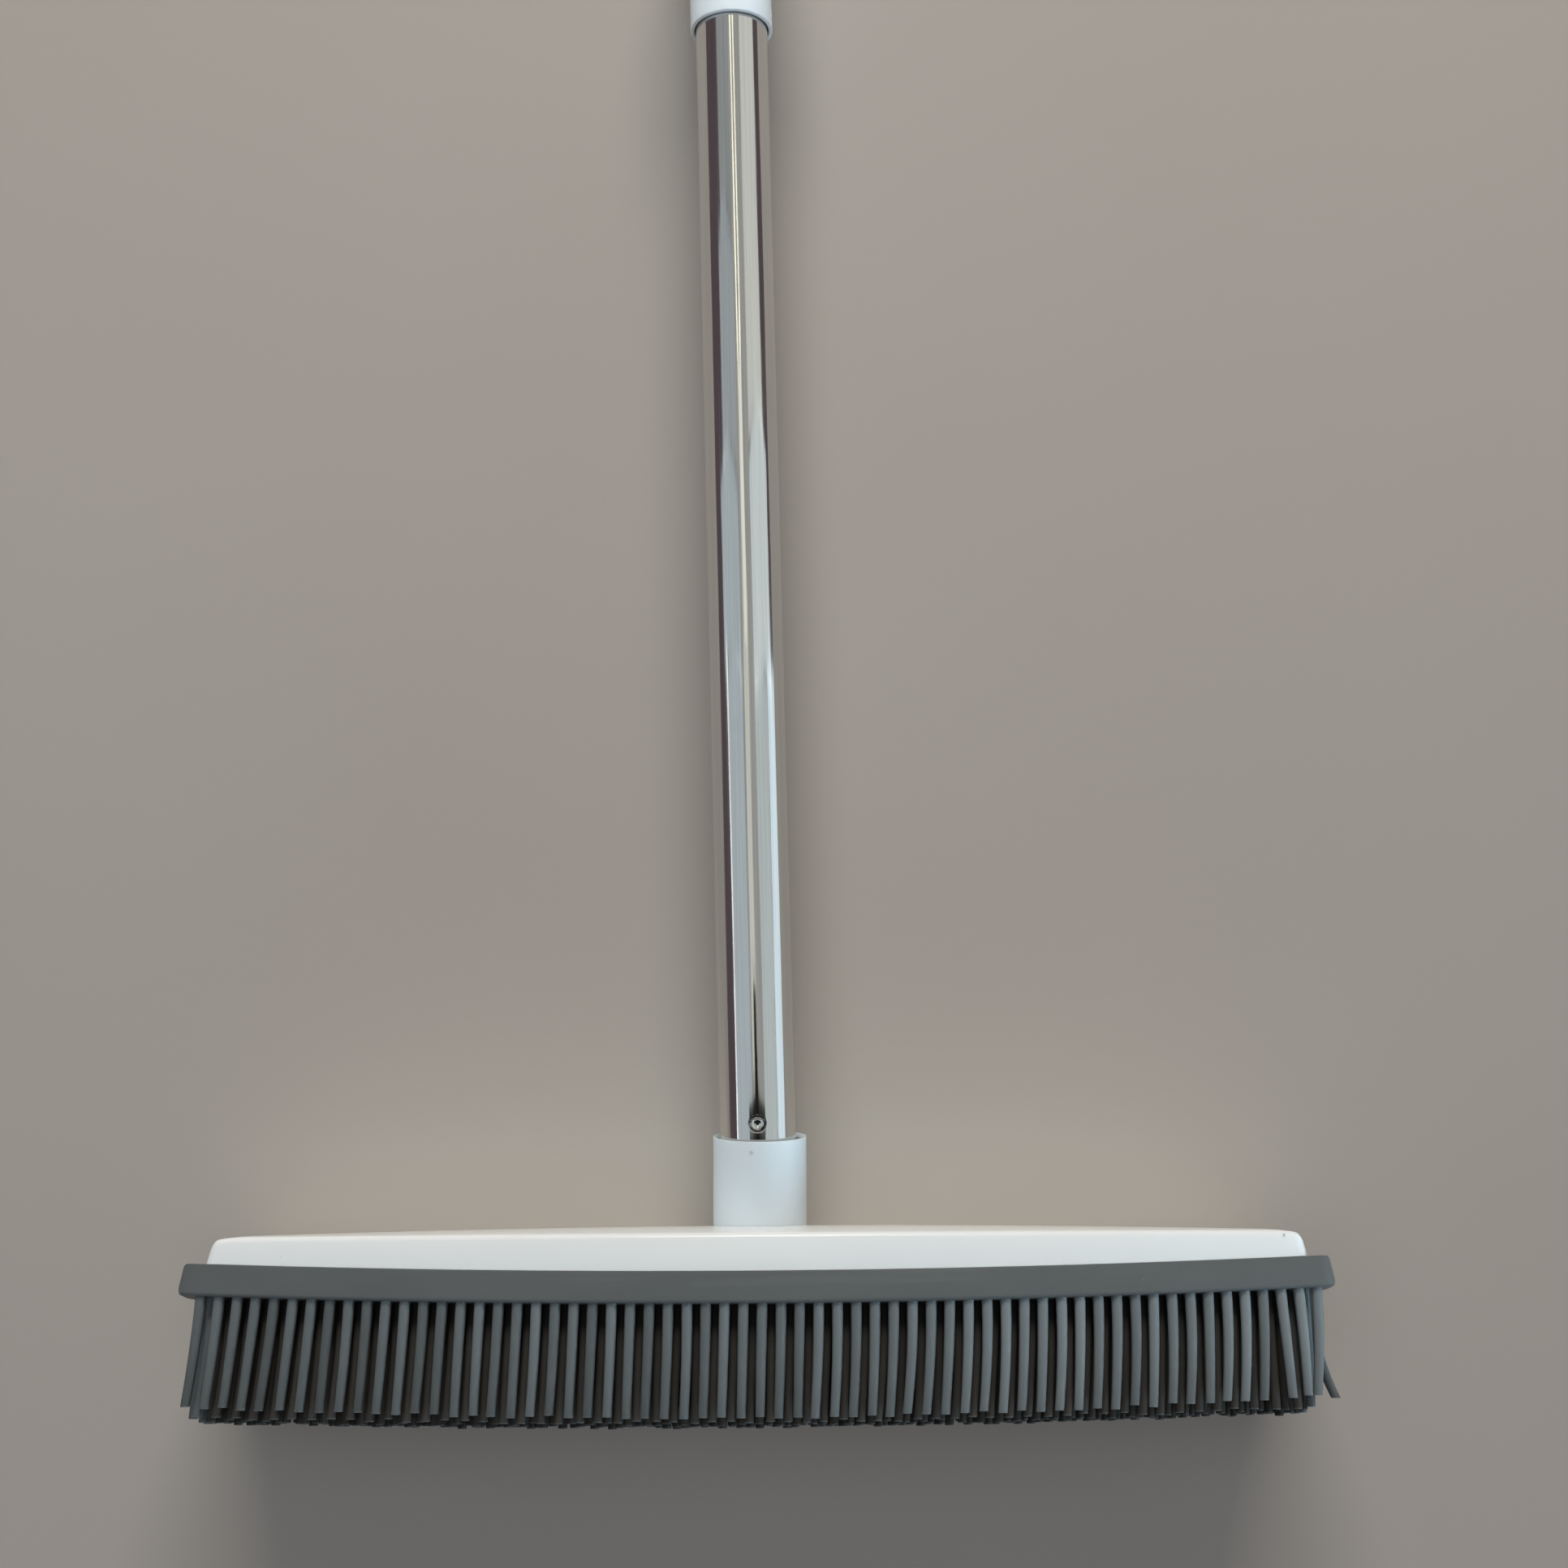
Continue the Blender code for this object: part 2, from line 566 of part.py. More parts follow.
def rest_on_floor(pole):
    """Tip the broom until head and pole end both touch z = 0, and centre it on the origin."""
    bpy.context.view_layer.update()
    head = pole_points(["head_shell", "bristle_pad"], pole)
    tail = pole_points(["handle_grip", "end_cap"], pole)
    low, high = math.radians(-5), math.radians(5)
    for _ in range(40):
        tip = (low + high) / 2
        sink = [(p[:, 1] * math.sin(tip) + p[:, 2] * math.cos(tip)).min() for p in (head, tail)]
        if sink[1] > sink[0]:
            high = tip
        else:
            low = tip
    every = np.concatenate((head, tail))
    x, y = every[:, 0], every[:, 1] * math.cos(tip) - every[:, 2] * math.sin(tip)
    pole.rotation_euler.x = tip
    pole.location = (-(x.min() + x.max()) / 2, -(y.min() + y.max()) / 2, -min(sink))
    bpy.context.view_layer.update()


def main():
    clear_scene()
    pole = frame_empty("pole_frame")
    socket_frame = frame_empty("socket_frame", pole)
    socket_frame.rotation_euler.z = -SIDE_LEAN
    head = frame_empty("head_frame", socket_frame)
    head.rotation_euler.x = -LEAN
    make_head_shell(head, socket_frame)
    make_handle_socket(head, socket_frame)
    for k, x in enumerate(SOCKET_SCREWS_X, 1):
        make_screw(f"socket_screw_{k}", head, x, -11.0 * MM, -4.4 * MM)
    make_base_plate(head)
    make_bristle_pad(head)
    for k, x in enumerate(PLATE_SCREWS_X, 1):
        make_screw(f"plate_screw_{k}", head, x, rim(x) - PLATE_DOWN - PLATE_THICK, -5.6 * MM)
    make_lower_tube(pole)
    make_thread_plug(pole)
    make_guide_bush(pole)
    make_upper_tube(pole)
    make_thread_sleeve(pole)
    make_collet_ring(pole)
    make_locking_collar(pole)
    make_grip(pole)
    make_end_cap(pole)
    rest_on_floor(pole)


main()
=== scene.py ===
"""Carpet broom: fine meshes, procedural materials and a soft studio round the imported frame.

Shapes are built in local frames that share one origin, where the pole's axis meets the top
of the head.  POLE has its Y along the pole and its Z up.  SOCKET is turned about Z by the
pole's sideways play.  HEAD also leans by LEAN about X, so its Y runs from the bristles to
the pole and its Z is the head's depth.
"""

import json
import math

import bmesh
import bpy
import numpy as np
from mathutils import Matrix, Vector


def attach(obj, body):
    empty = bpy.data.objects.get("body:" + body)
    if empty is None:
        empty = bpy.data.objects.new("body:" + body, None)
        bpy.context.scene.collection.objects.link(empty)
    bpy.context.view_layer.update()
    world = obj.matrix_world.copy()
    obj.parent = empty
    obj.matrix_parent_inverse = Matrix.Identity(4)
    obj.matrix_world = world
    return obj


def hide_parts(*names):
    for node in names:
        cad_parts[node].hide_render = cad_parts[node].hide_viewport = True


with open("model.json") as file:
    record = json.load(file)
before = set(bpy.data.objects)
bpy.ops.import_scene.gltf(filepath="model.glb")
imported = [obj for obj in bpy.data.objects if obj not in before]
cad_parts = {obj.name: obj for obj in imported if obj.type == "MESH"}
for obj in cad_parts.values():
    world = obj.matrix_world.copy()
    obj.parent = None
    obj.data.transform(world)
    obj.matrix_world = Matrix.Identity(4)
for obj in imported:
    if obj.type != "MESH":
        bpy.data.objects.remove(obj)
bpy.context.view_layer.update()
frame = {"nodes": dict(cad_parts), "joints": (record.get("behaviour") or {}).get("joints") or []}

MM = 0.001
GAP = 0.3 * MM              # clearance between neighbouring pieces
SHARP = 32                  # edges that turn by more degrees than this stay sharp

# Head: the CAD's sizes, with ends that slope a few degrees less
LEAN = math.radians(15.0)
SIDE_LEAN = math.radians(1.25)
SHELL_HALF = 150.6 * MM
PAD_HALF = 157.6 * MM
HEAD_DEEP = 26.0 * MM
HEAD_BOW = 5.0 * MM
STATION_STEP = 3.0 * MM     # between the cross-sections of the shell and the pad

SHELL_IN = 0.1 * GAP        # how far the shell's sides stand inside the head's depth
CREST_DROP = 2.2 * MM
SHOULDER_Y = -3.4 * MM
SHOULDER_R = 1.8 * MM
SHOULDER_TURN = 72          # degrees from the wall to the roof
RIM_Y = -13.6 * MM
RIM_RISE = 3.1 * MM
RIM_R = 0.15 * MM
END_SLOPE = math.radians(11.5)
END_DROP = 0.9 * MM         # how far the roof sinks over its last END_REACH
END_REACH = 9.0 * MM
SHELL_CORNER = 3.5 * MM

PAD_OUT = 0.9 * GAP         # how far the pad's sides stand outside the head's depth
PAD_CORNER = 4.0 * MM
PAD_END_R = 1.2 * MM        # rounding of its top over its ends
PAD_FOOT_R = 1.6 * MM       # and of its foot
PAD_TOP_EDGE = 0.3 * MM
PAD_LIP = 1.0 * MM
PAD_SLOPE = math.radians(8.0)
PAD_TALL = 8.2 * MM
PAD_BELLY = 0.5 * MM        # how far the underside bulges in the middle
PAD_RECESS = 4.1 * MM
PAD_LAND = 5.0 * MM
PLATE_CORNER = 4.0 * MM
PLATE_SCREWS_X = (-125 * MM, -55 * MM, 55 * MM, 125 * MM)
SCREW_HEAD_R = 3.0 * MM

# Bristles
PITCH = 5.043 * MM
SHIFT = 0.48 * MM           # the columns' offset along the head
COLUMNS = 61
ROWS = 11
ROOT_R = 1.52 * MM
TIP_R = 1.24 * MM
TIP_EDGE = 0.14 * MM        # how far the rim of a tip is worn back
TIP_Y = -49.8 * MM
TIP_RISE = 2.5 * MM
TIP_DOME = 3.5 * MM
FRONT_RISE = 2.0 * MM       # more rise of the front and back rows at the head's ends
FIRST_ROW_IN = 2.4 * MM     # pad face to the middle of the first row
ROOT_SUNK = 1.2 * MM
FRONT_TUCK = 0.7 * MM       # how far the front and back rows lean in
SPREAD = 0.30 * MM          # of the tips, for a draw of 1
BOW = 0.2 * MM
GROW = 0.25 * MM
MOST_JITTER = 1.8
STRAY = (2, COLUMNS - 1)    # row and column of the bristle that curves outwards
STRAY_RISE = 3.0 * MM
STRAY_IN = 0.4 * MM         # from its tip to the line of the pad's end
TIP_TONE = 0.22             # of the inner rows' ends

# Pole: the CAD's sizes, with a softer dimple
SOCKET_R = 13.4 * MM
SOCKET_BORE_R = 12.2 * MM
SOCKET_RIM = 25.6 * MM
SOCKET_SHOULDER = 3.5 * MM
SOCKET_FOOT = -8.5 * MM
SOCKET_LIP = 0.4 * MM
SOCKET_CHAMFER = 0.9 * MM
THREAD_BORE_R = 8.7 * MM
TUBE_R = 11.0 * MM
TUBE_WALL = 0.5 * MM
TUBE_EDGE = 0.15 * MM
TUBE_STEP = 12 * MM
TUBE_START = 8.0 * MM
TUBE_END = 625.0 * MM
DIMPLE_Y = SOCKET_RIM + 4.8 * MM
BOWL_R = 2.45 * MM          # the dimple's bowl
BOWL_DEEP = 1.15 * MM
BOWL_SOFT = 0.05 * MM
DENT_R = 4.5 * MM           # the shallow dent round the bowl
DENT_DEEP = 0.05 * MM
DENT_REACH = 14 * MM
COLLAR_START = SOCKET_RIM + 333.0 * MM
COLLAR_LONG = 52.0 * MM
COLLAR_SIDES = 192
FLUTES = 16
FLUTE_DEEP = 0.7 * MM
UPPER_R = 12.5 * MM
UPPER_START = COLLAR_START + 34.0 * MM
UPPER_END = 1000.0 * MM
GRIP_START = 872.0 * MM
GRIP_R = 14.47 * MM
GRIP_PITCH = 10 * MM
GROOVE_DEEP = 0.9 * MM
CAP_END = 1036.0 * MM

# Studio
FLOOR_R = 3.2               # metres
FLOOR_SIDES = 96
PANEL_HEIGHT = 2.0          # metres from the pole to the panels that it reflects
CARD_HEIGHT = 469 * MM      # above the pole
CAMERA_AT = (1.1 * MM, 85.2 * MM, 468.8 * MM)
CAMERA_TURN = (5.11, -1.10, -1.38)

JOINTS = {j["name"]: j for j in frame["joints"]}
AXIS = Vector(JOINTS["pole_extend"]["axis"])
POLE = (Matrix.Translation(Vector(JOINTS["collar_twist"]["pos_m"]) - AXIS * COLLAR_START)
        @ Matrix.Rotation(math.atan2(AXIS.z, AXIS.y), 4, "X"))
SOCKET = POLE @ Matrix.Rotation(-SIDE_LEAN, 4, "Z")
HEAD = SOCKET @ Matrix.Rotation(-LEAN, 4, "X")
LOWER, UPPER, COLLAR = "head_and_lower_pole", "upper_pole", "collar"


# ---------------------------------------------------------------- mesh helpers
def solid_mesh(name, verts, faces, place):
    """A mesh from local points, with its normals facing out."""
    mesh = bpy.data.meshes.new(name)
    mesh.from_pydata([tuple(v) for v in verts], [], [tuple(f) for f in faces])
    mesh.transform(place)
    bm = bmesh.new()
    bm.from_mesh(mesh)
    bmesh.ops.recalc_face_normals(bm, faces=bm.faces)
    bm.to_mesh(mesh)
    bm.free()
    return mesh


def piece(name, verts, faces, place, material, body=None, slot=None, replaced=(), sharp=SHARP):
    """A mesh piece from local points; it rides on body and stands for the replaced nodes."""
    obj = bpy.data.objects.new(name, solid_mesh(name, verts, faces, place))
    bpy.context.scene.collection.objects.link(obj)
    obj.data.shade_smooth()
    obj.data.set_sharp_from_angle(angle=math.radians(sharp))
    obj.data.materials.append(material)
    if body:
        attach(obj, body)
    if replaced:
        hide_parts(*replaced)
    return obj


def cut(obj, verts, faces, place, operation="DIFFERENCE"):
    """Boolean a temporary solid with obj and keep the result as obj's mesh."""
    tool_mesh = solid_mesh("tool", verts, faces, place)
    tool = bpy.data.objects.new("tool", tool_mesh)
    bpy.context.scene.collection.objects.link(tool)
    modifier = obj.modifiers.new("cut", "BOOLEAN")
    modifier.operation, modifier.solver, modifier.object = operation, "EXACT", tool
    graph = bpy.context.evaluated_depsgraph_get()
    made = bpy.data.meshes.new_from_object(obj.evaluated_get(graph))
    obj.modifiers.clear()
    old = obj.data
    obj.data = made
    made.name = obj.name
    bpy.data.meshes.remove(old)
    bpy.data.objects.remove(tool)
    bpy.data.meshes.remove(tool_mesh)
    made.shade_smooth()
    made.set_sharp_from_angle(angle=math.radians(SHARP))


def band_faces(rows, cols, start=0):
    """Quads between rows of cols points each."""
    made = []
    for i in range(rows - 1):
        a, b = start + i * cols, start + (i + 1) * cols
        for j in range(cols):
            k = (j + 1) % cols
            made.append((a + j, a + k, b + k, b + j))
    return made


def closed_faces(rows, cols):
    """The same, with the last row joined to the first."""
    last = (rows - 1) * cols
    closing = [(last + j, last + (j + 1) % cols, (j + 1) % cols, j) for j in range(cols)]
    return band_faces(rows, cols) + closing


def loft(rings):
    """Points and faces of rings of equal count, capped at both ends."""
    count = len(rings[0])
    verts = [p for ring in rings for p in ring]
    faces = band_faces(len(rings), count)
    faces.append(tuple(range(count)))
    faces.append(tuple(range(len(verts) - count, len(verts))))
    return verts, faces


def lathe(outline, sides):
    """Turn an outline of (radius, y) about Y.  Both ends on the axis, or a closed ring."""
    on_axis = outline[0][0] == 0
    turned = outline[1:-1] if on_axis else outline
    angles = [2 * math.pi * i / sides for i in range(sides)]
    verts = [(r * math.cos(a), y, r * math.sin(a)) for r, y in turned for a in angles]
    if not on_axis:
        return verts, closed_faces(len(turned), sides)
    faces = band_faces(len(turned), sides)
    for end, row in ((outline[0], 0), (outline[-1], len(turned) - 1)):
        verts.append((0, end[1], 0))
        tip, base = len(verts) - 1, row * sides
        faces += [(base + j, base + (j + 1) % sides, tip) for j in range(sides)]
    return verts, faces


def rod(radius, y0, y1, sides, x=0.0):
    verts, faces = lathe([(0, y0), (radius, y0), (radius, y1), (0, y1)], sides)
    return [(v[0] + x, v[1], v[2]) for v in verts], faces


def fillet(points, steps):
    """Round the corners of (a, b, radius) points into a list of (a, b)."""
    made = []
    count = len(points)
    for i, (a, b, radius) in enumerate(points):
        if radius <= 0:
            made.append((a, b))
            continue
        here = Vector((a, b))
        before = Vector(points[i - 1][:2]) - here
        after = Vector(points[(i + 1) % count][:2]) - here
        half = before.angle(after) / 2
        reach = min(radius / math.tan(half), 0.49 * before.length, 0.49 * after.length)
        radius = reach * math.tan(half)
        start, end = here + before.normalized() * reach, here + after.normalized() * reach
        inward = (before.normalized() + after.normalized()).normalized()
        middle = here + inward * (radius / math.sin(half))
        u, v = start - middle, end - middle
        sweep = u.angle(v)
        for k in range(steps + 1):
            t = k / steps
            turned = u * math.sin((1 - t) * sweep) + v * math.sin(t * sweep)
            p = middle + turned / math.sin(sweep)
            made.append((p.x, p.y))
    return made


# ---------------------------------------------------------------- head surfaces
def deep(x):
    return HEAD_DEEP - HEAD_BOW * (x / PAD_HALF) ** 2


def rim(x):
    return RIM_Y + RIM_RISE * (x / SHELL_HALF) ** 2


def crest(x):
    return -CREST_DROP * (x / SHELL_HALF) ** 2


def rounding(radius, edge):
    """How far a rounded edge has fallen back at this distance from the end."""
    if edge >= radius:
        return 0.0
    return radius - math.sqrt(max(0.0, radius ** 2 - (radius - edge) ** 2))


def stations(half, radii):
    """Places along the head, closer together round the ends."""
    turns = [1 - math.cos(math.radians(a)) for a in range(0, 91, 10)]
    edges = sorted({round(r * turn, 7) for r in radii for turn in turns})
    inner = half - edges[-1]
    count = 2 * round(inner / STATION_STEP)
    middle = [inner * (2 * i / count - 1) for i in range(count + 1)]
    left = [-half + e for e in edges[:-1]]
    return left + middle + [-x for x in reversed(left)]


def shell_ring(x):
    """Cross-section of the shell: wall, rounded shoulder and domed roof."""
    edge = SHELL_HALF - abs(x)
    z_wall = deep(x) - SHELL_IN - rounding(SHELL_CORNER, edge)
    sink = rounding(SHOULDER_R, edge) + END_DROP * max(0.0, 1 - edge / END_REACH) ** 2
    foot = rim(x)
    side = [(z_wall - RIM_R * (1 - math.sin(a)), foot + RIM_R * (1 - math.cos(a)))
            for a in (0, math.pi / 6, math.pi / 3, math.pi / 2)]
    z_turn, y_turn = z_wall - SHOULDER_R, SHOULDER_Y - SHOULDER_R - sink
    for k in range(10):
        a = math.radians(SHOULDER_TURN * k / 9)
        side.append((z_turn + SHOULDER_R * math.cos(a), y_turn + SHOULDER_R * math.sin(a)))
    z_roof, y_roof = side[-1]
    top = crest(x) - sink
    for k in range(15, 0, -1):
        share = k / 16
        side.append((z_roof * share, top + (y_roof - top) * share ** 2))
    outline = side + [(0, top)] + [(-z, y) for z, y in reversed(side)]
    slope = math.tan(END_SLOPE) / SHELL_HALF
    return [(x * (1 - max(0.0, y - foot) * slope), y, z) for z, y in outline]


def pad_under(x, z):
    share = min(1.0, abs(z) / deep(x))
    return rim(x) - PAD_TALL - PAD_BELLY * (1 - share ** 2)


def bristle_tip(x, z):
    share = min(1.0, abs(z) / deep(x))
    return TIP_Y + TIP_RISE * (x / PAD_HALF) ** 2 - TIP_DOME * (1 - share ** 2)


def pad_ring(x):
    """Cross-section of the pad: top edge, wall, rounded lip and nearly flat underside."""
    edge = PAD_HALF - abs(x)
    z_wall = deep(x) + PAD_OUT - rounding(PAD_CORNER, edge)
    top = rim(x) - 0.05 * MM - rounding(PAD_END_R, edge)
    foot = rim(x) - PAD_TALL + 1.6 * rounding(PAD_FOOT_R, edge)
    side = []
    for k in range(7):
        a = math.radians(15 * k)
        side.append((z_wall - PAD_TOP_EDGE + PAD_TOP_EDGE * math.sin(a),
                     top - PAD_TOP_EDGE + PAD_TOP_EDGE * math.cos(a)))
    for k in range(9):
        a = math.radians(90 * k / 8)
        side.append((z_wall - PAD_LIP + PAD_LIP * math.cos(a),
                     foot + PAD_LIP - PAD_LIP * math.sin(a)))
    reach = z_wall - PAD_LIP
    for k in range(13, 0, -1):
        z = reach * k / 14
        blend = (k / 14) ** 8
        side.append((z, min(foot, pad_under(x, z) * (1 - blend) + foot * blend)))
    outline = side + [(0, pad_under(x, 0))] + [(-z, y) for z, y in reversed(side)]
    slope = math.tan(PAD_SLOPE) / PAD_HALF
    return [(x * (1 - max(0.0, y - foot) * slope), y, z) for z, y in outline]


def recess_rings():
    """Cross-sections of the pad's recess for the base plate, open at its top."""
    half = SHELL_HALF - PAD_LAND
    inner = half - 3.0 * MM
    left = [-half, -half + 1.0 * MM]
    rings = []
    for x in left + [inner * (i / 10 - 1) for i in range(21)] + [-x for x in reversed(left)]:
        z = deep(x) - PAD_LAND - rounding(PLATE_CORNER, half - abs(x))
        top, low = rim(x) + 4.4 * MM, rim(x) - PAD_RECESS
        rings.append([(x, low, z), (x, top, z), (x, top, -z), (x, low, -z)])
    return rings


# ---------------------------------------------------------------- node materials
class Look:
    """A material's node tree, written as nested calls."""

    def __init__(self, name, **values):
        self.material = bpy.data.materials.new(name)
        self.material.use_nodes = True
        self.tree = self.material.node_tree
        self.shader = self.tree.nodes["Principled BSDF"]
        for key, value in values.items():
            self.shader.inputs[key.replace("_", " ")].default_value = value
        self.place = self.node("ShaderNodeTexCoord").outputs["Object"]

    def node(self, kind, settings=None, **inputs):
        """A node with its settings and its inputs, named or numbered i0, i1 and so on."""
        made = self.tree.nodes.new(kind)
        for key, value in (settings or {}).items():
            setattr(made, key, value)
        for key, value in inputs.items():
            numbered = key[0] == "i" and key[1:].isdigit()
            self.put(made.inputs[int(key[1:]) if numbered else key], value)
        return made

    def put(self, socket, value):
        if isinstance(value, bpy.types.NodeSocket):
            self.tree.links.new(value, socket)
        else:
            socket.default_value = value

    def scaled(self, x, y, z):
        return self.node("ShaderNodeMapping", i0=self.place, Scale=(x, y, z)).outputs[0]

    def noise(self, scale, detail=3.0, rough=0.5, vector=None):
        return self.node("ShaderNodeTexNoise", Vector=vector or self.place, Scale=scale,
                         Detail=detail, Roughness=rough).outputs["Fac"]

    def cells(self, scale, vector=None):
        return self.node("ShaderNodeTexVoronoi", Vector=vector or self.place,
                         Scale=scale).outputs["Distance"]

    def distance(self, point):
        return self.node("ShaderNodeVectorMath", {"operation": "DISTANCE"}, i0=self.place,
                         i1=point).outputs["Value"]

    def ramp(self, value, low, high, start=0.0, end=1.0):
        return self.node("ShaderNodeMapRange", {"clamp": True}, i0=value, i1=low, i2=high,
                         i3=start, i4=end).outputs[0]

    def math(self, operation, a, b=0.0):
        return self.node("ShaderNodeMath", {"operation": operation}, i0=a, i1=b).outputs[0]

    def mix(self, factor, a, b):
        made = self.node("ShaderNodeMix", {"data_type": "RGBA"})
        self.put(made.inputs[0], factor)
        for socket, value in ((made.inputs[6], a), (made.inputs[7], b)):
            self.put(socket, value if isinstance(value, bpy.types.NodeSocket) else (*value, 1))
        return made.outputs[2]

    def bump(self, height, strength, distance, under=None):
        made = self.node("ShaderNodeBump", Height=height, Strength=strength, Distance=distance)
        if under:
            self.tree.links.new(under, made.inputs["Normal"])
        return made.outputs[0]

    def done(self, colour=None, roughness=None, normal=None):
        values = (("Base Color", colour), ("Roughness", roughness), ("Normal", normal))
        for key, value in values:
            if value is not None:
                self.tree.links.new(value, self.shader.inputs[key])
        return self.material


def white_plastic(name, colour, roughness, tint, dirt=0.12, marks=()):
    """Glossy moulded plastic: faint flow shading, handling marks and a fine skin."""
    look = Look(name, IOR=1.46, Coat_Weight=0.25, Coat_Roughness=0.08)
    flow = look.noise(18, 4, 0.6, look.scaled(0.5, 1.6, 1.6))
    base = look.mix(look.ramp(flow, 0.3, 0.75), colour, tint)
    grime = look.noise(60, 6, 0.7, look.scaled(1, 1.4, 1))
    base = look.mix(look.ramp(grime, 0.6, 0.85, 0.0, dirt), base, (0.52, 0.50, 0.46))
    specks = look.cells(75)
    base = look.mix(look.ramp(specks, 0.020, 0.012, 0.0, 0.4), base, (0.45, 0.44, 0.42))
    for point, size, shade in marks:
        near = look.distance(point)
        edge = look.ramp(look.noise(900, 3), 0.3, 0.7, -0.4 * size, 0.4 * size)
        ragged = look.math("ADD", near, edge)
        base = look.mix(look.ramp(ragged, size, 0.4 * size, 0.0, 0.75), base, shade)
    skin = look.noise(240, 5, 0.65)
    gloss = look.ramp(skin, 0.35, 0.75, roughness * 0.92, roughness * 1.15)
    waves = look.bump(look.noise(45, 2, 0.4), 0.02, 0.001)
    return look.done(base, gloss, look.bump(look.noise(1400, 2, 0.5), 0.05, 0.00003, waves))


def rubber(name, colour, light, streak=True):
    """Matt grey rubber: cloudy tone, faint moulding streaks, fine grain and a little lint."""
    look = Look(name, IOR=1.5, Specular_IOR_Level=0.4)
    cloud = look.noise(30, 5, 0.6, look.scaled(0.35, 1.5, 1.5))
    base = look.mix(look.ramp(cloud, 0.3, 0.72), colour, light)
    if streak:
        lines = look.noise(260, 3, 0.6, look.scaled(0.03, 1, 1))
        pale = tuple(c * 1.5 for c in light)
        base = look.mix(look.ramp(lines, 0.55, 0.75, 0.0, 0.25), base, pale)
    lint = look.cells(120, look.scaled(1, 0.6, 1))
    base = look.mix(look.ramp(lint, 0.03, 0.02, 0.0, 0.3), base, (0.30, 0.29, 0.27))
    rough = look.ramp(look.noise(180, 4, 0.6), 0.3, 0.7, 0.46, 0.62)
    grain = look.bump(look.noise(2600, 2, 0.6), 0.14, 0.0002)
    drawn = look.noise(420, 3, 0.5, look.scaled(0.2, 1, 1))
    return look.done(base, rough, look.bump(drawn, 0.08, 0.0003, grain))


def bristle_rubber(name, gloss, light):
    """The pad's rubber on the bristles: each has its own tone, with painted light and shade mixed
    into it, and the tip is rubbed paler.
    """
    look = Look(name, IOR=1.5, Specular_IOR_Level=gloss)
    tone, worn = (look.node("ShaderNodeAttribute", {"attribute_name": key}).outputs["Fac"]
                  for key in ("tone", "worn"))
    base = look.mix(tone, (0.016, 0.015, 0.013), light)
    cloud = look.noise(320, 4, 0.6, look.scaled(1, 0.25, 1))
    cloud = look.math("MULTIPLY", look.ramp(cloud, 0.45, 0.8, 0.0, 0.4), tone)
    base = look.mix(cloud, base, (0.19, 0.20, 0.205))
    base = look.mix(look.math("MULTIPLY", worn, 0.5), base, (0.20, 0.21, 0.21))
    rough = look.ramp(look.noise(400, 3, 0.6), 0.3, 0.7, 0.52, 0.68)
    grain = look.noise(1800, 3, 0.6, look.scaled(1, 0.3, 1))
    return look.done(base, rough, look.bump(grain, 0.16, 0.0002))


def steel(name, crimp, radius):
    """Polished drawn tube: hairlines along it, water marks, and a painted dark ring of shade at
    the crimp's edge.
    """
    look = Look(name, Metallic=1.0)
    hair = look.noise(1, 4, 0.65, look.scaled(1600, 5, 1600))
    marks = look.noise(38, 6, 0.68, look.scaled(1, 0.5, 1))
    base = look.mix(look.ramp(hair, 0.35, 0.7), (0.66, 0.665, 0.65), (0.76, 0.765, 0.755))
    base = look.mix(look.ramp(marks, 0.55, 0.8, 0.0, 0.28), base, (0.50, 0.50, 0.485))
    # painted shade: a dark ring round the crimp's edge
    near = look.distance(crimp)
    ring = look.math("MULTIPLY", look.ramp(near, 0.70 * radius, 0.84 * radius),
                     look.ramp(near, 1.10 * radius, 0.98 * radius))
    base = look.mix(look.math("MULTIPLY", ring, 0.85), base, (0.06, 0.055, 0.05))
    rough = look.math("ADD", look.ramp(hair, 0.3, 0.75, 0.05, 0.12),
                      look.ramp(marks, 0.5, 0.8, 0.0, 0.10))
    ripple = look.bump(look.noise(1, 2, 0.5, look.scaled(240, 8, 240)), 0.04, 0.0004)
    return look.done(base, rough, look.bump(hair, 0.035, 0.0002, ripple))


def nylon(name):
    look = Look(name, IOR=1.5)
    cloud = look.ramp(look.noise(90, 4), 0.3, 0.7)
    base = look.mix(cloud, (0.70, 0.71, 0.69), (0.78, 0.79, 0.78))
    rough = look.ramp(look.noise(300, 3), 0.3, 0.7, 0.35, 0.55)
    return look.done(base, rough, look.bump(look.noise(1500, 2), 0.1, 0.0002))


def zinc(name):
    look = Look(name, Metallic=1.0)
    cloud = look.ramp(look.noise(420, 5, 0.7), 0.35, 0.7)
    base = look.mix(cloud, (0.40, 0.41, 0.42), (0.60, 0.60, 0.58))
    rough = look.ramp(look.noise(700, 4, 0.6), 0.3, 0.7, 0.22, 0.42)
    return look.done(base, rough, look.bump(look.noise(2200, 3), 0.12, 0.0001))


def pale_floor(name):
    look = Look(name, Roughness=0.75, Specular_IOR_Level=0.2)
    cloud = look.ramp(look.noise(3, 4, 0.5), 0.35, 0.65)
    return look.done(look.mix(cloud, (0.50, 0.465, 0.42), (0.52, 0.485, 0.44)))


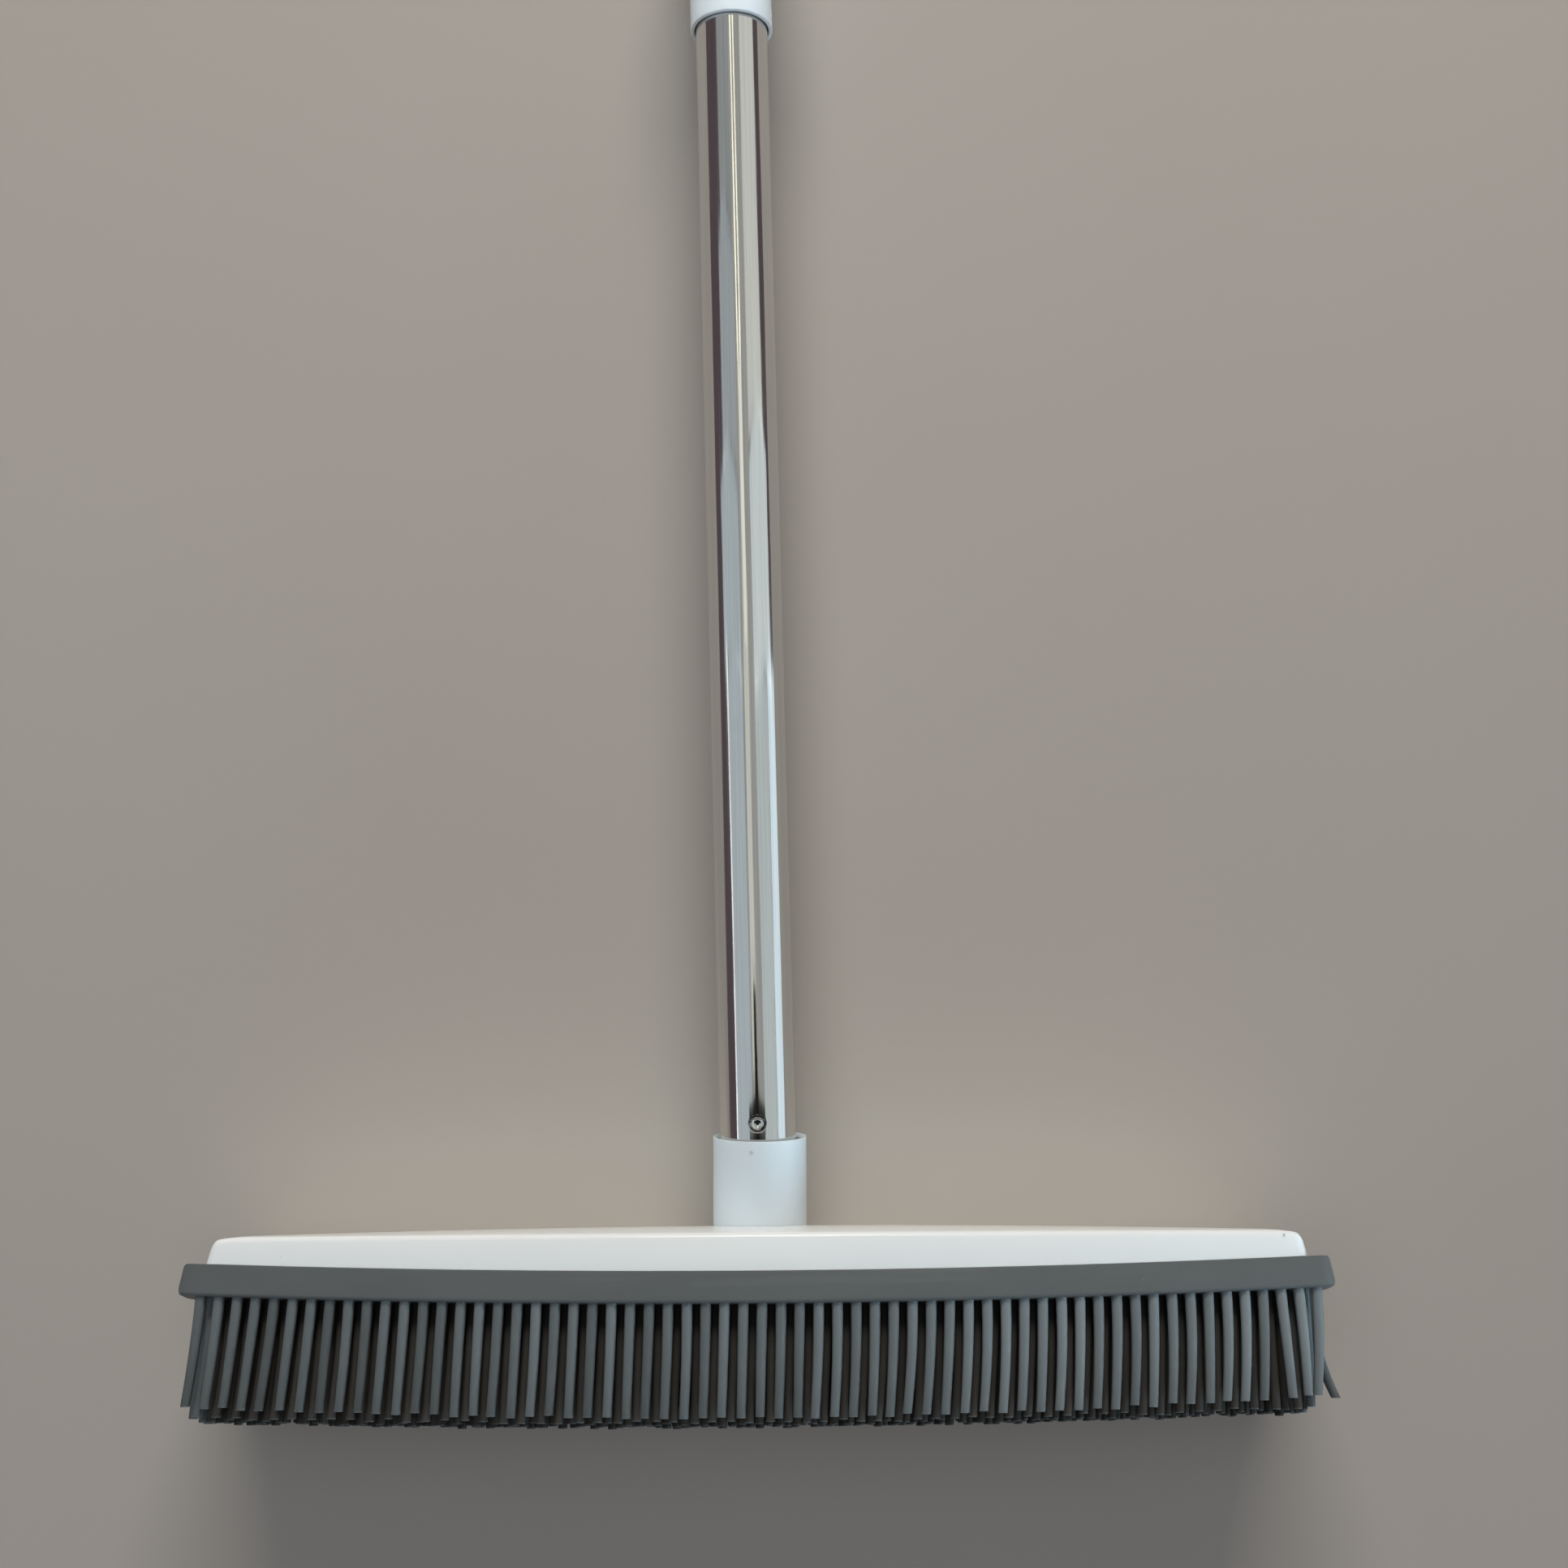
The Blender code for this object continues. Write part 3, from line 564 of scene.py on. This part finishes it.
SCUFF_AT = SOCKET @ Vector((-2.4 * MM, 22.6 * MM, SOCKET_R))
SPECK_AT = HEAD @ Vector((143.5 * MM, -5.0 * MM, 21.5 * MM))
WHITE_SHELL = white_plastic("white_shell", (0.80, 0.815, 0.80), 0.22, (0.78, 0.795, 0.785),
                            marks=[(SPECK_AT, 0.6 * MM, (0.22, 0.22, 0.22))])
WHITE_SOCKET = white_plastic("white_socket", (0.69, 0.765, 0.80), 0.34, (0.71, 0.775, 0.805),
                             dirt=0.0, marks=[(SCUFF_AT, 0.8 * MM, (0.48, 0.50, 0.51))])
WHITE_COLLAR = white_plastic("white_collar", (0.83, 0.885, 0.915), 0.26, (0.85, 0.89, 0.91))
WHITE_CAP = white_plastic("white_cap", (0.62, 0.64, 0.64), 0.30, (0.66, 0.67, 0.67))
PAD_RUBBER = rubber("pad_rubber", (0.083, 0.090, 0.088), (0.105, 0.112, 0.112))
GRIP_RUBBER = rubber("grip_rubber", (0.10, 0.105, 0.108), (0.13, 0.135, 0.138), streak=False)
# two copies of one bristle rubber: a bluish one with painted light for the outer rows, a browner
# near-matt one with painted shade for the inner rows
BRISTLE = bristle_rubber("bristle_rubber", 0.30, (0.187, 0.213, 0.221))
BRISTLE_SHADED = bristle_rubber("bristle_rubber_shaded", 0.05, (0.190, 0.170, 0.150))
STEEL = steel("tube_steel", POLE @ Vector((0, DIMPLE_Y, TUBE_R)), BOWL_R)
NYLON = nylon("nylon")
ZINC = zinc("zinc")


# ---------------------------------------------------------------- head pieces
def make_shell():
    rings = [shell_ring(x) for x in stations(SHELL_HALF, (SHOULDER_R, SHELL_CORNER))]
    shell = piece("broom_head_shell", *loft(rings), HEAD, WHITE_SHELL, LOWER, "white_shell",
                  ["head_shell"])
    cut(shell, *rod(SOCKET_R + 0.15 * MM, -9 * MM, 12 * MM, 96), SOCKET)


def make_socket():
    outline = fillet([(SOCKET_R, SOCKET_FOOT, 0), (SOCKET_R, SOCKET_RIM, 0.15 * MM),
                      (SOCKET_R - SOCKET_LIP, SOCKET_RIM, 0.1 * MM),
                      (SOCKET_BORE_R, SOCKET_RIM - SOCKET_CHAMFER, 0.5 * MM),
                      (SOCKET_BORE_R, SOCKET_SHOULDER, 0.4 * MM),
                      (THREAD_BORE_R, SOCKET_SHOULDER, 0.3 * MM),
                      (THREAD_BORE_R, SOCKET_FOOT, 0)], 6)
    tall = SOCKET_RIM + 7.5 * MM
    side = [(SOCKET_R, SOCKET_FOOT + tall * k / 12) for k in range(12)]
    piece("pole_socket", *lathe(side + outline[1:], 128), SOCKET, WHITE_SOCKET, LOWER,
          "white_socket", ["handle_socket"])


def make_pad():
    rings = [pad_ring(x) for x in stations(PAD_HALF, (PAD_END_R, PAD_CORNER))]
    pad = piece("bristle_pad_body", *loft(rings), HEAD, PAD_RUBBER, LOWER, "grey_rubber",
                ["bristle_pad"])
    cut(pad, *loft(recess_rings()), HEAD)
    for x in PLATE_SCREWS_X:
        cut(pad, *rod(SCREW_HEAD_R + 0.6 * MM, rim(x) - 20 * MM, rim(x) - 3 * MM, 40, x), HEAD)


def side_lean(x):
    """How far bristle tips have been pushed along the head in use.  Places are in metres."""
    places = [-0.15, -0.13, -0.11, -0.08, 0.0, 0.05, 0.10,
              0.122, 0.132, 0.137, 0.142, 0.147, 0.152]
    pushed = [-1.2, -1.5, -0.7, -0.6, -0.65, -2.4, -2.2, -2.3, -2.7, -2.3, 0.6, -0.3, -2.6]
    return float(np.interp(x, places, pushed)) * MM


def bristle_places(rng):
    """Row, root and tip offsets of every bristle, row by row from the near side."""
    middle = (COLUMNS - 1) / 2
    for row in range(ROWS):
        share = 1 - 2 * row / (ROWS - 1)
        faces_out = row in (0, ROWS - 1)
        neat = 0.5 if faces_out else 1.0
        tuck = FRONT_TUCK * share if faces_out else 0.0
        for column in range(COLUMNS - row % 2):
            x = (column - middle + 0.5 * (row % 2)) * PITCH + SHIFT
            z = share * (deep(x) - FIRST_ROW_IN)
            jitter = np.clip(rng.normal(size=6), -MOST_JITTER, MOST_JITTER)
            if min(math.hypot(x - s, z) for s in PLATE_SCREWS_X) < SCREW_HEAD_R + 2.2 * MM:
                continue
            dx = side_lean(x) + SPREAD * neat * jitter[0]
            dz = SPREAD * neat * jitter[1] - tuck
            if (row, column) == STRAY:
                dx, dz = PAD_HALF - x - TIP_R - STRAY_IN, 0.6 * MM
            bow, grow, tint = BOW * neat * jitter[2], GROW * jitter[3], jitter[4]
            yield row, column, x, z, dx, dz, bow, grow, tint


def painted_bristle_lightness(x, depth, at_end, tint):
    """How light a bristle is painted: painted light on the rows that face out most, and more so
    to the right, and painted shade on the inner rows.
    """
    # painted light and shade: outer rows lighter, front row lighter to the right, inner rows
    # darker by depth
    if depth == 0:
        painted_lightness = 0.58 + 0.20 * x / PAD_HALF
    elif at_end:
        painted_lightness = 0.42
    else:
        painted_lightness = 0.16 if depth == 1 else 0.09
    return min(1.0, max(0.0, painted_lightness * (1 + 0.16 * tint)))


def make_bristles():
    """Every bristle as a tapered rod with a worn rim at its tip; painted shade darkens the inner
    ones at the pad and the outer ones towards their tips.
    """
    rng = np.random.default_rng(11)
    groups = {"bristles_outer": ([], [], [], []), "bristles_inner": ([], [], [], [])}
    for row, column, x, z, dx, dz, bow, grow, tint in bristle_places(rng):
        depth = min(row, ROWS - 1 - row)
        at_end = column in (0, COLUMNS - 1 - row % 2)
        stray = (row, column) == STRAY
        outer = depth == 0 or at_end
        verts, faces, tones_with_painted_shade, worn = groups["bristles_outer" if outer else "bristles_inner"]
        sides, rings = (14, 10) if depth < 3 or at_end else (8, 6)
        root, tip = pad_under(x, z) + ROOT_SUNK, bristle_tip(x, z) + grow
        if depth == 0:
            tip += FRONT_RISE * (x / PAD_HALF) ** 2
        if stray:
            tip += STRAY_RISE
        painted_lightness = painted_bristle_lightness(x, depth, at_end, tint)
        base = len(verts)
        # share of the length, how far the edge is worn back, how much it is rubbed
        rows = [(k / rings, 0.0, 0.0) for k in range(rings)]
        rows += [(1 - 0.014, 0.0, 0.0), (1 - 0.004, 0.0, 0.8), (1.0, TIP_EDGE, 0.5)]
        for t, draw_in, rub in rows:
            push = t ** (2.6 if stray else 1.7)
            cx = x + dx * push + bow * math.sin(math.pi * t)
            cz = z + dz * push
            y = root + (tip - root) * t
            r = ROOT_R + (TIP_R - ROOT_R) * t - draw_in
            for s in range(sides):
                a = 2 * math.pi * s / sides
                verts.append((cx + r * math.cos(a), y, cz + r * math.sin(a)))
            # painted shade: outer rows darker towards the tip, inner rows darker near the pad,
            # with their ends lifted to TIP_TONE
            if outer:
                tone = painted_lightness * (1.14 - 0.42 * t * t)
            else:
                tone = max(painted_lightness * min(1.0, max(0.15, (t - 0.12) / 0.25)), TIP_TONE * (t == 1.0))
            tones_with_painted_shade += [tone] * sides
            # the paler rubbed rim, kept weaker on the inner rows as painted shade on their tips
            worn += [rub if depth < 2 else 0.6 * rub] * sides
        last = len(verts) - sides
        faces += band_faces(len(rows), sides, base)
        faces.append(tuple(range(base, base + sides)))
        faces.append(tuple(range(last, last + sides)))
    for name, (verts, faces, tones_with_painted_shade, worn) in groups.items():
        look = BRISTLE if name == "bristles_outer" else BRISTLE_SHADED
        obj = piece(name, verts, faces, HEAD, look, LOWER, "grey_rubber", sharp=50)
        for key, values in (("tone", tones_with_painted_shade), ("worn", worn)):
            layer = obj.data.attributes.new(key, "FLOAT", "POINT")
            layer.data.foreach_set("value", np.array(values, np.float32))


# ---------------------------------------------------------------- pole pieces
def dimple_depth(along, around):
    """Depth of the crimp below the tube's surface: flat in the middle, steep at its edge."""
    d = math.hypot(along, around)
    bowl = BOWL_DEEP * (1 - (d / BOWL_R) ** 3)
    bowl = 0.5 * (bowl + math.sqrt(bowl * bowl + BOWL_SOFT * BOWL_SOFT))
    return bowl + DENT_DEEP * math.exp(-(d / DENT_R) ** 2)


def dimple_rows():
    """Places along the tube round the dimple: 0.15 mm apart over the bowl, then 0.45 mm."""
    rows = [DIMPLE_Y + 0.15 * MM * k for k in range(-24, 25)]
    rows += [DIMPLE_Y + side * (3.6 + 0.45 * k) * MM for k in range(1, 21) for side in (-1, 1)]
    return sorted(rows)


def dimple_angles():
    """Angles round the tube: 0.6 degrees apart over the dimple, then 3 degrees."""
    angles = [90 + 0.6 * k for k in range(-30, 31)]
    angles += [90 + 18 + 3 * k for k in range(1, 108)]
    return [math.radians(a) for a in angles]


def tube_mesh(radius, start, end, dimpled=False):
    """A tube with rolled ends, and with the crimp's dimple on its upper side if dimpled."""
    fine = dimple_rows() if dimpled else []
    angles = dimple_angles() if dimpled else [2 * math.pi * k / 112 for k in range(112)]
    low, high = (fine[0], fine[-1]) if dimpled else (end, end)
    coarse = [start + TUBE_STEP * k for k in range(int((end - start) / TUBE_STEP) + 1)]
    long_side = sorted([y for y in coarse if start + 0.5 * MM < y < end - 0.5 * MM
                        and not low - 0.1 * MM < y < high + 0.1 * MM] + fine)
    bore = radius - TUBE_WALL
    outline = [(radius - TUBE_EDGE, start), (radius, start + TUBE_EDGE)]
    outline += [(radius, y) for y in long_side]
    outline += [(radius, end - TUBE_EDGE), (radius - TUBE_EDGE, end), (bore, end)]
    outline += [(bore, y) for y in reversed(long_side)] + [(bore, start)]
    verts = []
    for r, y in outline:
        sunk = dimpled and abs(y - DIMPLE_Y) < DENT_REACH
        for a in angles:
            depth = dimple_depth(y - DIMPLE_Y, radius * (a - math.pi / 2)) if sunk else 0.0
            verts.append(((r - depth) * math.cos(a), y, (r - depth) * math.sin(a)))
    return verts, closed_faces(len(outline), len(angles))


def make_tubes():
    piece("lower_pole_tube", *tube_mesh(TUBE_R, TUBE_START, TUBE_END, dimpled=True), POLE,
          STEEL, LOWER, "tube_steel", ["lower_tube"])
    piece("upper_pole_tube", *tube_mesh(UPPER_R, UPPER_START, UPPER_END), POLE,
          STEEL, UPPER, "tube_steel", ["upper_tube"])


def make_collar():
    """Twist collar: plain sleeve at its lower end, then a wider grip with scooped flutes."""
    start, end = COLLAR_START, COLLAR_START + COLLAR_LONG
    bore, chamber = TUBE_R + 0.35 * MM, UPPER_R + 1.6 * MM
    full = chamber + 1.7 * MM
    outline = fillet([(UPPER_R, start, 0.4 * MM), (UPPER_R, start + 15 * MM, 6 * MM),
                      (full, start + 23 * MM, 5 * MM), (full, end, 1.0 * MM),
                      (chamber, end, 0.3 * MM), (chamber, start + 24 * MM, 1 * MM),
                      (bore, start + 14 * MM, 1 * MM), (bore, start, 0.3 * MM)], 7)
    rows = []
    for (r0, y0), (r1, y1) in zip(outline, outline[1:] + outline[:1]):
        parts = max(1, math.ceil(math.hypot(r1 - r0, y1 - y0) / (1.2 * MM)))
        rows += [(r0 + (r1 - r0) * k / parts, y0 + (y1 - y0) * k / parts) for k in range(parts)]
    verts = []
    for r, y in rows:
        along = (y - start - 25 * MM) / (COLLAR_LONG - 30 * MM)
        fade = max(0.0, math.sin(math.pi * min(1.0, max(0.0, along)))) ** 0.5
        outside = r > chamber + 0.9 * MM
        for s in range(COLLAR_SIDES):
            a = 2 * math.pi * s / COLLAR_SIDES
            wave = max(0.0, math.cos(FLUTES * a)) ** 1.5
            scoop = wave * FLUTE_DEEP * fade if outside else 0.0
            verts.append(((r - scoop) * math.cos(a), y, (r - scoop) * math.sin(a)))
    piece("twist_collar", verts, closed_faces(len(rows), COLLAR_SIDES), POLE, WHITE_COLLAR,
          COLLAR, "white_collar", ["locking_collar"])


def make_grip():
    inner, groove = UPPER_R + GAP, GRIP_R - GROOVE_DEEP
    outline = [(inner, GRIP_START, 0.2 * MM), (GRIP_R - 1 * MM, GRIP_START, 0.8 * MM),
               (GRIP_R, GRIP_START + 2 * MM, 2 * MM)]
    y = GRIP_START + 12 * MM
    while y < UPPER_END - 20 * MM:
        outline += [(GRIP_R, y, 0.5 * MM), (groove, y + 1 * MM, 0.5 * MM),
                    (groove, y + 3 * MM, 0.5 * MM), (GRIP_R, y + 4 * MM, 0.5 * MM)]
        y += GRIP_PITCH
    outline += [(GRIP_R, UPPER_END, 0.4 * MM), (inner, UPPER_END, 0.2 * MM)]
    piece("pole_grip", *lathe(fillet(outline, 3), 96), POLE, GRIP_RUBBER, UPPER,
          "grip_rubber", ["handle_grip"])


def arcs(radius, ends, sweep, steps):
    """Points round arcs of one radius, each given by its centre and first angle."""
    made = []
    for cx, cy, a0 in ends:
        for k in range(steps + 1):
            a = math.radians(a0 + sweep * k / steps)
            made.append((cx + radius * math.cos(a), cy + radius * math.sin(a)))
    return made


def make_end_cap():
    """Round cap with a plug in the tube, and a flat eye with a slot to hang the broom by."""
    stem = UPPER_R - TUBE_WALL - GAP
    outline = fillet([(0, UPPER_END - 16 * MM, 0), (stem - 1 * MM, UPPER_END - 16 * MM, 0.4 * MM),
                      (stem, UPPER_END - 14 * MM, 0.5 * MM), (stem, UPPER_END + GAP, 0.1 * MM),
                      (GRIP_R, UPPER_END + GAP, 0.3 * MM), (GRIP_R, UPPER_END + 4 * MM, 1.2 * MM),
                      (GRIP_R - 1.5 * MM, UPPER_END + 6 * MM, 1.0 * MM),
                      (0, UPPER_END + 6 * MM, 0)], 5)
    cap = piece("pole_end_cap", *lathe(outline, 96), POLE, WHITE_CAP, UPPER, "white_collar",
                ["end_cap"])
    half, corner, thick, bevel = 12 * MM, 7 * MM, 4 * MM, 1.0 * MM
    root = UPPER_END + 4.5 * MM
    corners = [(half - corner, CAP_END - corner, 0), (corner - half, CAP_END - corner, 90)]

    def eye_edge(inset):
        top = arcs(corner - inset, corners, 90, 12)
        return [(half - inset, root)] + top + [(inset - half, root)]

    turns = [math.radians(18 * k) for k in range(5, -1, -1)]
    rings = [(-thick + bevel * (1 - math.sin(a)), bevel * (1 - math.cos(a))) for a in turns]
    rings += [(-z, inset) for z, inset in reversed(rings)]
    cut(cap, *loft([[(x, y, z) for x, y in eye_edge(inset)] for z, inset in rings]), POLE,
        "UNION")

    slot_r = 5 * MM
    ends = [(0, CAP_END - 12 * MM, 0), (0, UPPER_END + 14 * MM, 180)]
    flare = [(-10 * MM, 6 * MM), (-thick, 0.6 * MM), (-thick + 0.3 * MM, 0.2 * MM),
             (-thick + 0.8 * MM, 0.0)]
    rings = flare + [(-z, grow) for z, grow in reversed(flare)]
    cut(cap, *loft([[(x, y, z) for x, y in arcs(slot_r + grow, ends, 180, 16)]
                    for z, grow in rings]), POLE)


def dress_cad_nodes():
    """Better materials on the CAD nodes that stay."""
    plain = ("base_plate", "thread_plug", "guide_bush", "thread_sleeve", "collet_ring")
    for name, node in frame["nodes"].items():
        if name in plain or "screw" in name:
            node.data.materials.clear()
            node.data.materials.append(NYLON if name in plain else ZINC)


# ---------------------------------------------------------------- studio
def soft_box(name, at, aim, wide, tall, power, colour, glossy=True, diffuse=True):
    light = bpy.data.lights.new(name, "AREA")
    light.shape, light.size, light.size_y = "RECTANGLE", wide, tall
    light.energy, light.color = power, colour
    obj = bpy.data.objects.new(name, light)
    bpy.context.scene.collection.objects.link(obj)
    obj.location = at
    obj.rotation_euler = (Vector(aim) - Vector(at)).to_track_quat("-Z", "Y").to_euler()
    obj.visible_camera = False
    obj.visible_glossy, obj.visible_diffuse = glossy, diffuse
    return obj


def narrow(name, at, aim, wide, power, colour, spread, spared):
    """A soft box with a narrow beam that leaves the spared things alone."""
    light = soft_box(name, at, aim, wide, 0.3, power, colour, glossy=False)
    light.data.spread = math.radians(spread)
    light.light_linking.receiver_collection = spared


def across(name, angle, width, radiance, colour, y0, y1):
    """A long panel parallel to the pole, for its reflections.

    It stands at this angle from overhead towards +X, and is this many degrees wide."""
    a = math.radians(angle)
    wide = 2 * PANEL_HEIGHT * math.tan(math.radians(width / 2))
    middle = (y0 + y1) / 2
    at = (PANEL_HEIGHT * math.sin(a), middle, PANEL_HEIGHT * math.cos(a))
    power = radiance * math.pi * wide * (y1 - y0)
    light = soft_box(name, at, (0, middle, 0), wide, y1 - y0, power, colour, diffuse=False)
    light.rotation_euler = (0, a, 0)


def make_floor():
    """The floor, and a collection that keeps the narrow lights off it."""
    turns = [2 * math.pi * k / FLOOR_SIDES for k in range(FLOOR_SIDES)]
    disc = [(FLOOR_R * math.cos(a), FLOOR_R * math.sin(a), 0) for a in turns]
    floor = piece("floor", disc, [tuple(range(FLOOR_SIDES))], Matrix.Identity(4),
                  pale_floor("pale_floor"))
    spared = bpy.data.collections.new("unlit_by_side_lights")
    spared.objects.link(floor)
    spared.collection_objects[0].light_linking.link_state = "EXCLUDE"
    return spared


def make_panels():
    """What the pole reflects: two sides of a room, its windows and a pair of lamps."""
    for panel in (
            ("ceiling_left", -36.5, 46, 0.50, (0.78, 0.94, 1.0), -2.0, 0.03),
            ("ceiling_middle", 5, 36, 0.30, (0.93, 1.0, 0.92), -2.0, 2.6),
            ("ceiling_right", 43, 40, 0.54, (0.86, 1.0, 1.0), -2.0, 0.0),
            ("window_left", -61.5, 3.4, 1.5, (0.96, 1.0, 1.0), -1.0, 0.03),
            ("window_right", 78, 28, 1.0, (0.75, 0.92, 1.0), -1.0, 0.0),
            ("wall_left", -42, 56, 0.48, (0.78, 0.95, 1.0), 0.03, 0.36),
            ("wall_right", 51.5, 57, 0.70, (0.87, 1.0, 1.0), 0.0, 0.42),
            ("far_left_near", -36, 46, 0.36, (0.82, 0.96, 1.0), 0.36, 0.75),
            ("far_left", -31.5, 37, 0.26, (0.85, 1.0, 0.98), 0.75, 2.6),
            ("far_right", 47, 48, 0.62, (0.95, 1.0, 0.92), 0.42, 2.6),
            ("lamp_left", -4.5, 3.0, 1.5, (1.0, 0.95, 0.72), 0.5, 2.6),
            ("lamp_right", 3.5, 3.0, 1.4, (1.0, 0.95, 0.72), 0.5, 2.6),
            ("lamp_near", 0.0, 10.0, 0.62, (1.0, 0.97, 0.84), 0.05, 0.5),
            ("lamp_low", -2.0, 14.0, 0.33, (0.98, 1.0, 0.86), -0.6, 0.05)):
        across(*panel)


def make_lights(spared):
    """Soft boxes: two end walls to reflect, a warm key and its glint, and cool fill."""
    middle, over, ahead = (0, 0, 0.3), (0.1, 2.1, 1.15), (0, -0.45, 0.03)
    warm = (1.0, 0.965, 0.91)
    soft_box("wall_north", (0, 4, 1.3), middle, 5.0, 2.4, 13, (1.0, 0.98, 0.95), diffuse=False)
    soft_box("wall_south", (0, -4, 1.3), middle, 5.0, 2.4, 13, (0.95, 0.99, 1.0), diffuse=False)
    soft_box("key", over, ahead, 1.6, 0.6, 63, warm, glossy=False)
    soft_box("glint", over, ahead, 0.5, 0.22, 14, warm, diffuse=False)
    soft_box("overhead", (-0.3, -0.1, 2.2), (0, -0.1, 0), 2.4, 2.6, 13.5, (0.82, 0.95, 1.0),
             glossy=False)
    narrow("cool_side", (0.75, -0.72, 0.25), (0.18, -0.53, 0.03), 0.4, 0.65,
           (0.58, 0.84, 1.0), 60, spared)
    narrow("cool_left", (-0.9, -0.38, 0.22), (0, -0.47, 0.03), 0.3, 0.14,
           (0.70, 0.88, 1.0), 50, spared)
    narrow("cool_top", (-0.1, 0.05, 0.75), (0, -0.11, 0.03), 0.25, 0.085,
           (0.66, 0.88, 1.0), 40, spared)
    soft_box("cool_low", (0.2, -2.4, 0.55), (0, -0.5, 0.03), 2.6, 0.7, 5, (0.74, 0.90, 1.0))


def make_dark_card():
    """A dark card over the pole, seen only in its reflections: the tail that widens below."""
    shade = bpy.data.materials.new("dark_card")
    shade.use_nodes = True
    black = (0.01, 0.01, 0.01, 1)
    shade.node_tree.nodes["Principled BSDF"].inputs["Base Color"].default_value = black
    right = [(20, 54), (34, 46), (38, -6), (60, -13), (120, -19), (200, -25), (200, -200)]
    outline = right + [(-x, y) for x, y in reversed(right)]
    corners = [(x * MM, y * MM, CARD_HEIGHT) for x, y in outline]
    card = piece("dark_card", corners, [tuple(range(len(corners)))], POLE, shade)
    card.visible_camera = card.visible_diffuse = False
    card.visible_shadow = card.visible_transmission = False


def make_world():
    """Dark surroundings for the reflections, behind a plain pale backdrop."""
    world = bpy.data.worlds.new("studio")
    world.use_nodes = True
    tree = world.node_tree
    dark = tree.nodes["Background"]
    dark.inputs["Color"].default_value = (0.095, 0.072, 0.080, 1)
    pale = tree.nodes.new("ShaderNodeBackground")
    pale.inputs["Color"].default_value = (0.62, 0.60, 0.57, 1)
    mix = tree.nodes.new("ShaderNodeMixShader")
    path = tree.nodes.new("ShaderNodeLightPath")
    tree.links.new(path.outputs["Is Camera Ray"], mix.inputs[0])
    tree.links.new(dark.outputs[0], mix.inputs[1])
    tree.links.new(pale.outputs[0], mix.inputs[2])
    tree.links.new(mix.outputs[0], tree.nodes["World Output"].inputs["Surface"])
    bpy.context.scene.world = world
    bpy.context.scene.view_settings.view_transform = "Standard"


def make_camera():
    camera = bpy.data.cameras.new("camera")
    camera.sensor_fit, camera.sensor_width, camera.sensor_height = "HORIZONTAL", 36, 36
    camera.lens = 36.8
    camera.clip_start, camera.clip_end = 0.02, 50
    obj = bpy.data.objects.new("camera", camera)
    bpy.context.scene.collection.objects.link(obj)
    tilt, roll, turn = (Matrix.Rotation(math.radians(degrees), 4, axis)
                        for degrees, axis in zip(CAMERA_TURN, "XYZ"))
    obj.matrix_world = POLE @ Matrix.Translation(CAMERA_AT) @ (tilt @ roll @ turn)
    bpy.context.scene.camera = obj


make_camera()
make_shell()
make_socket()
make_pad()
make_bristles()
make_tubes()
make_collar()
make_grip()
make_end_cap()
dress_cad_nodes()
unlit = make_floor()
make_panels()
make_lights(unlit)
make_dark_card()
make_world()
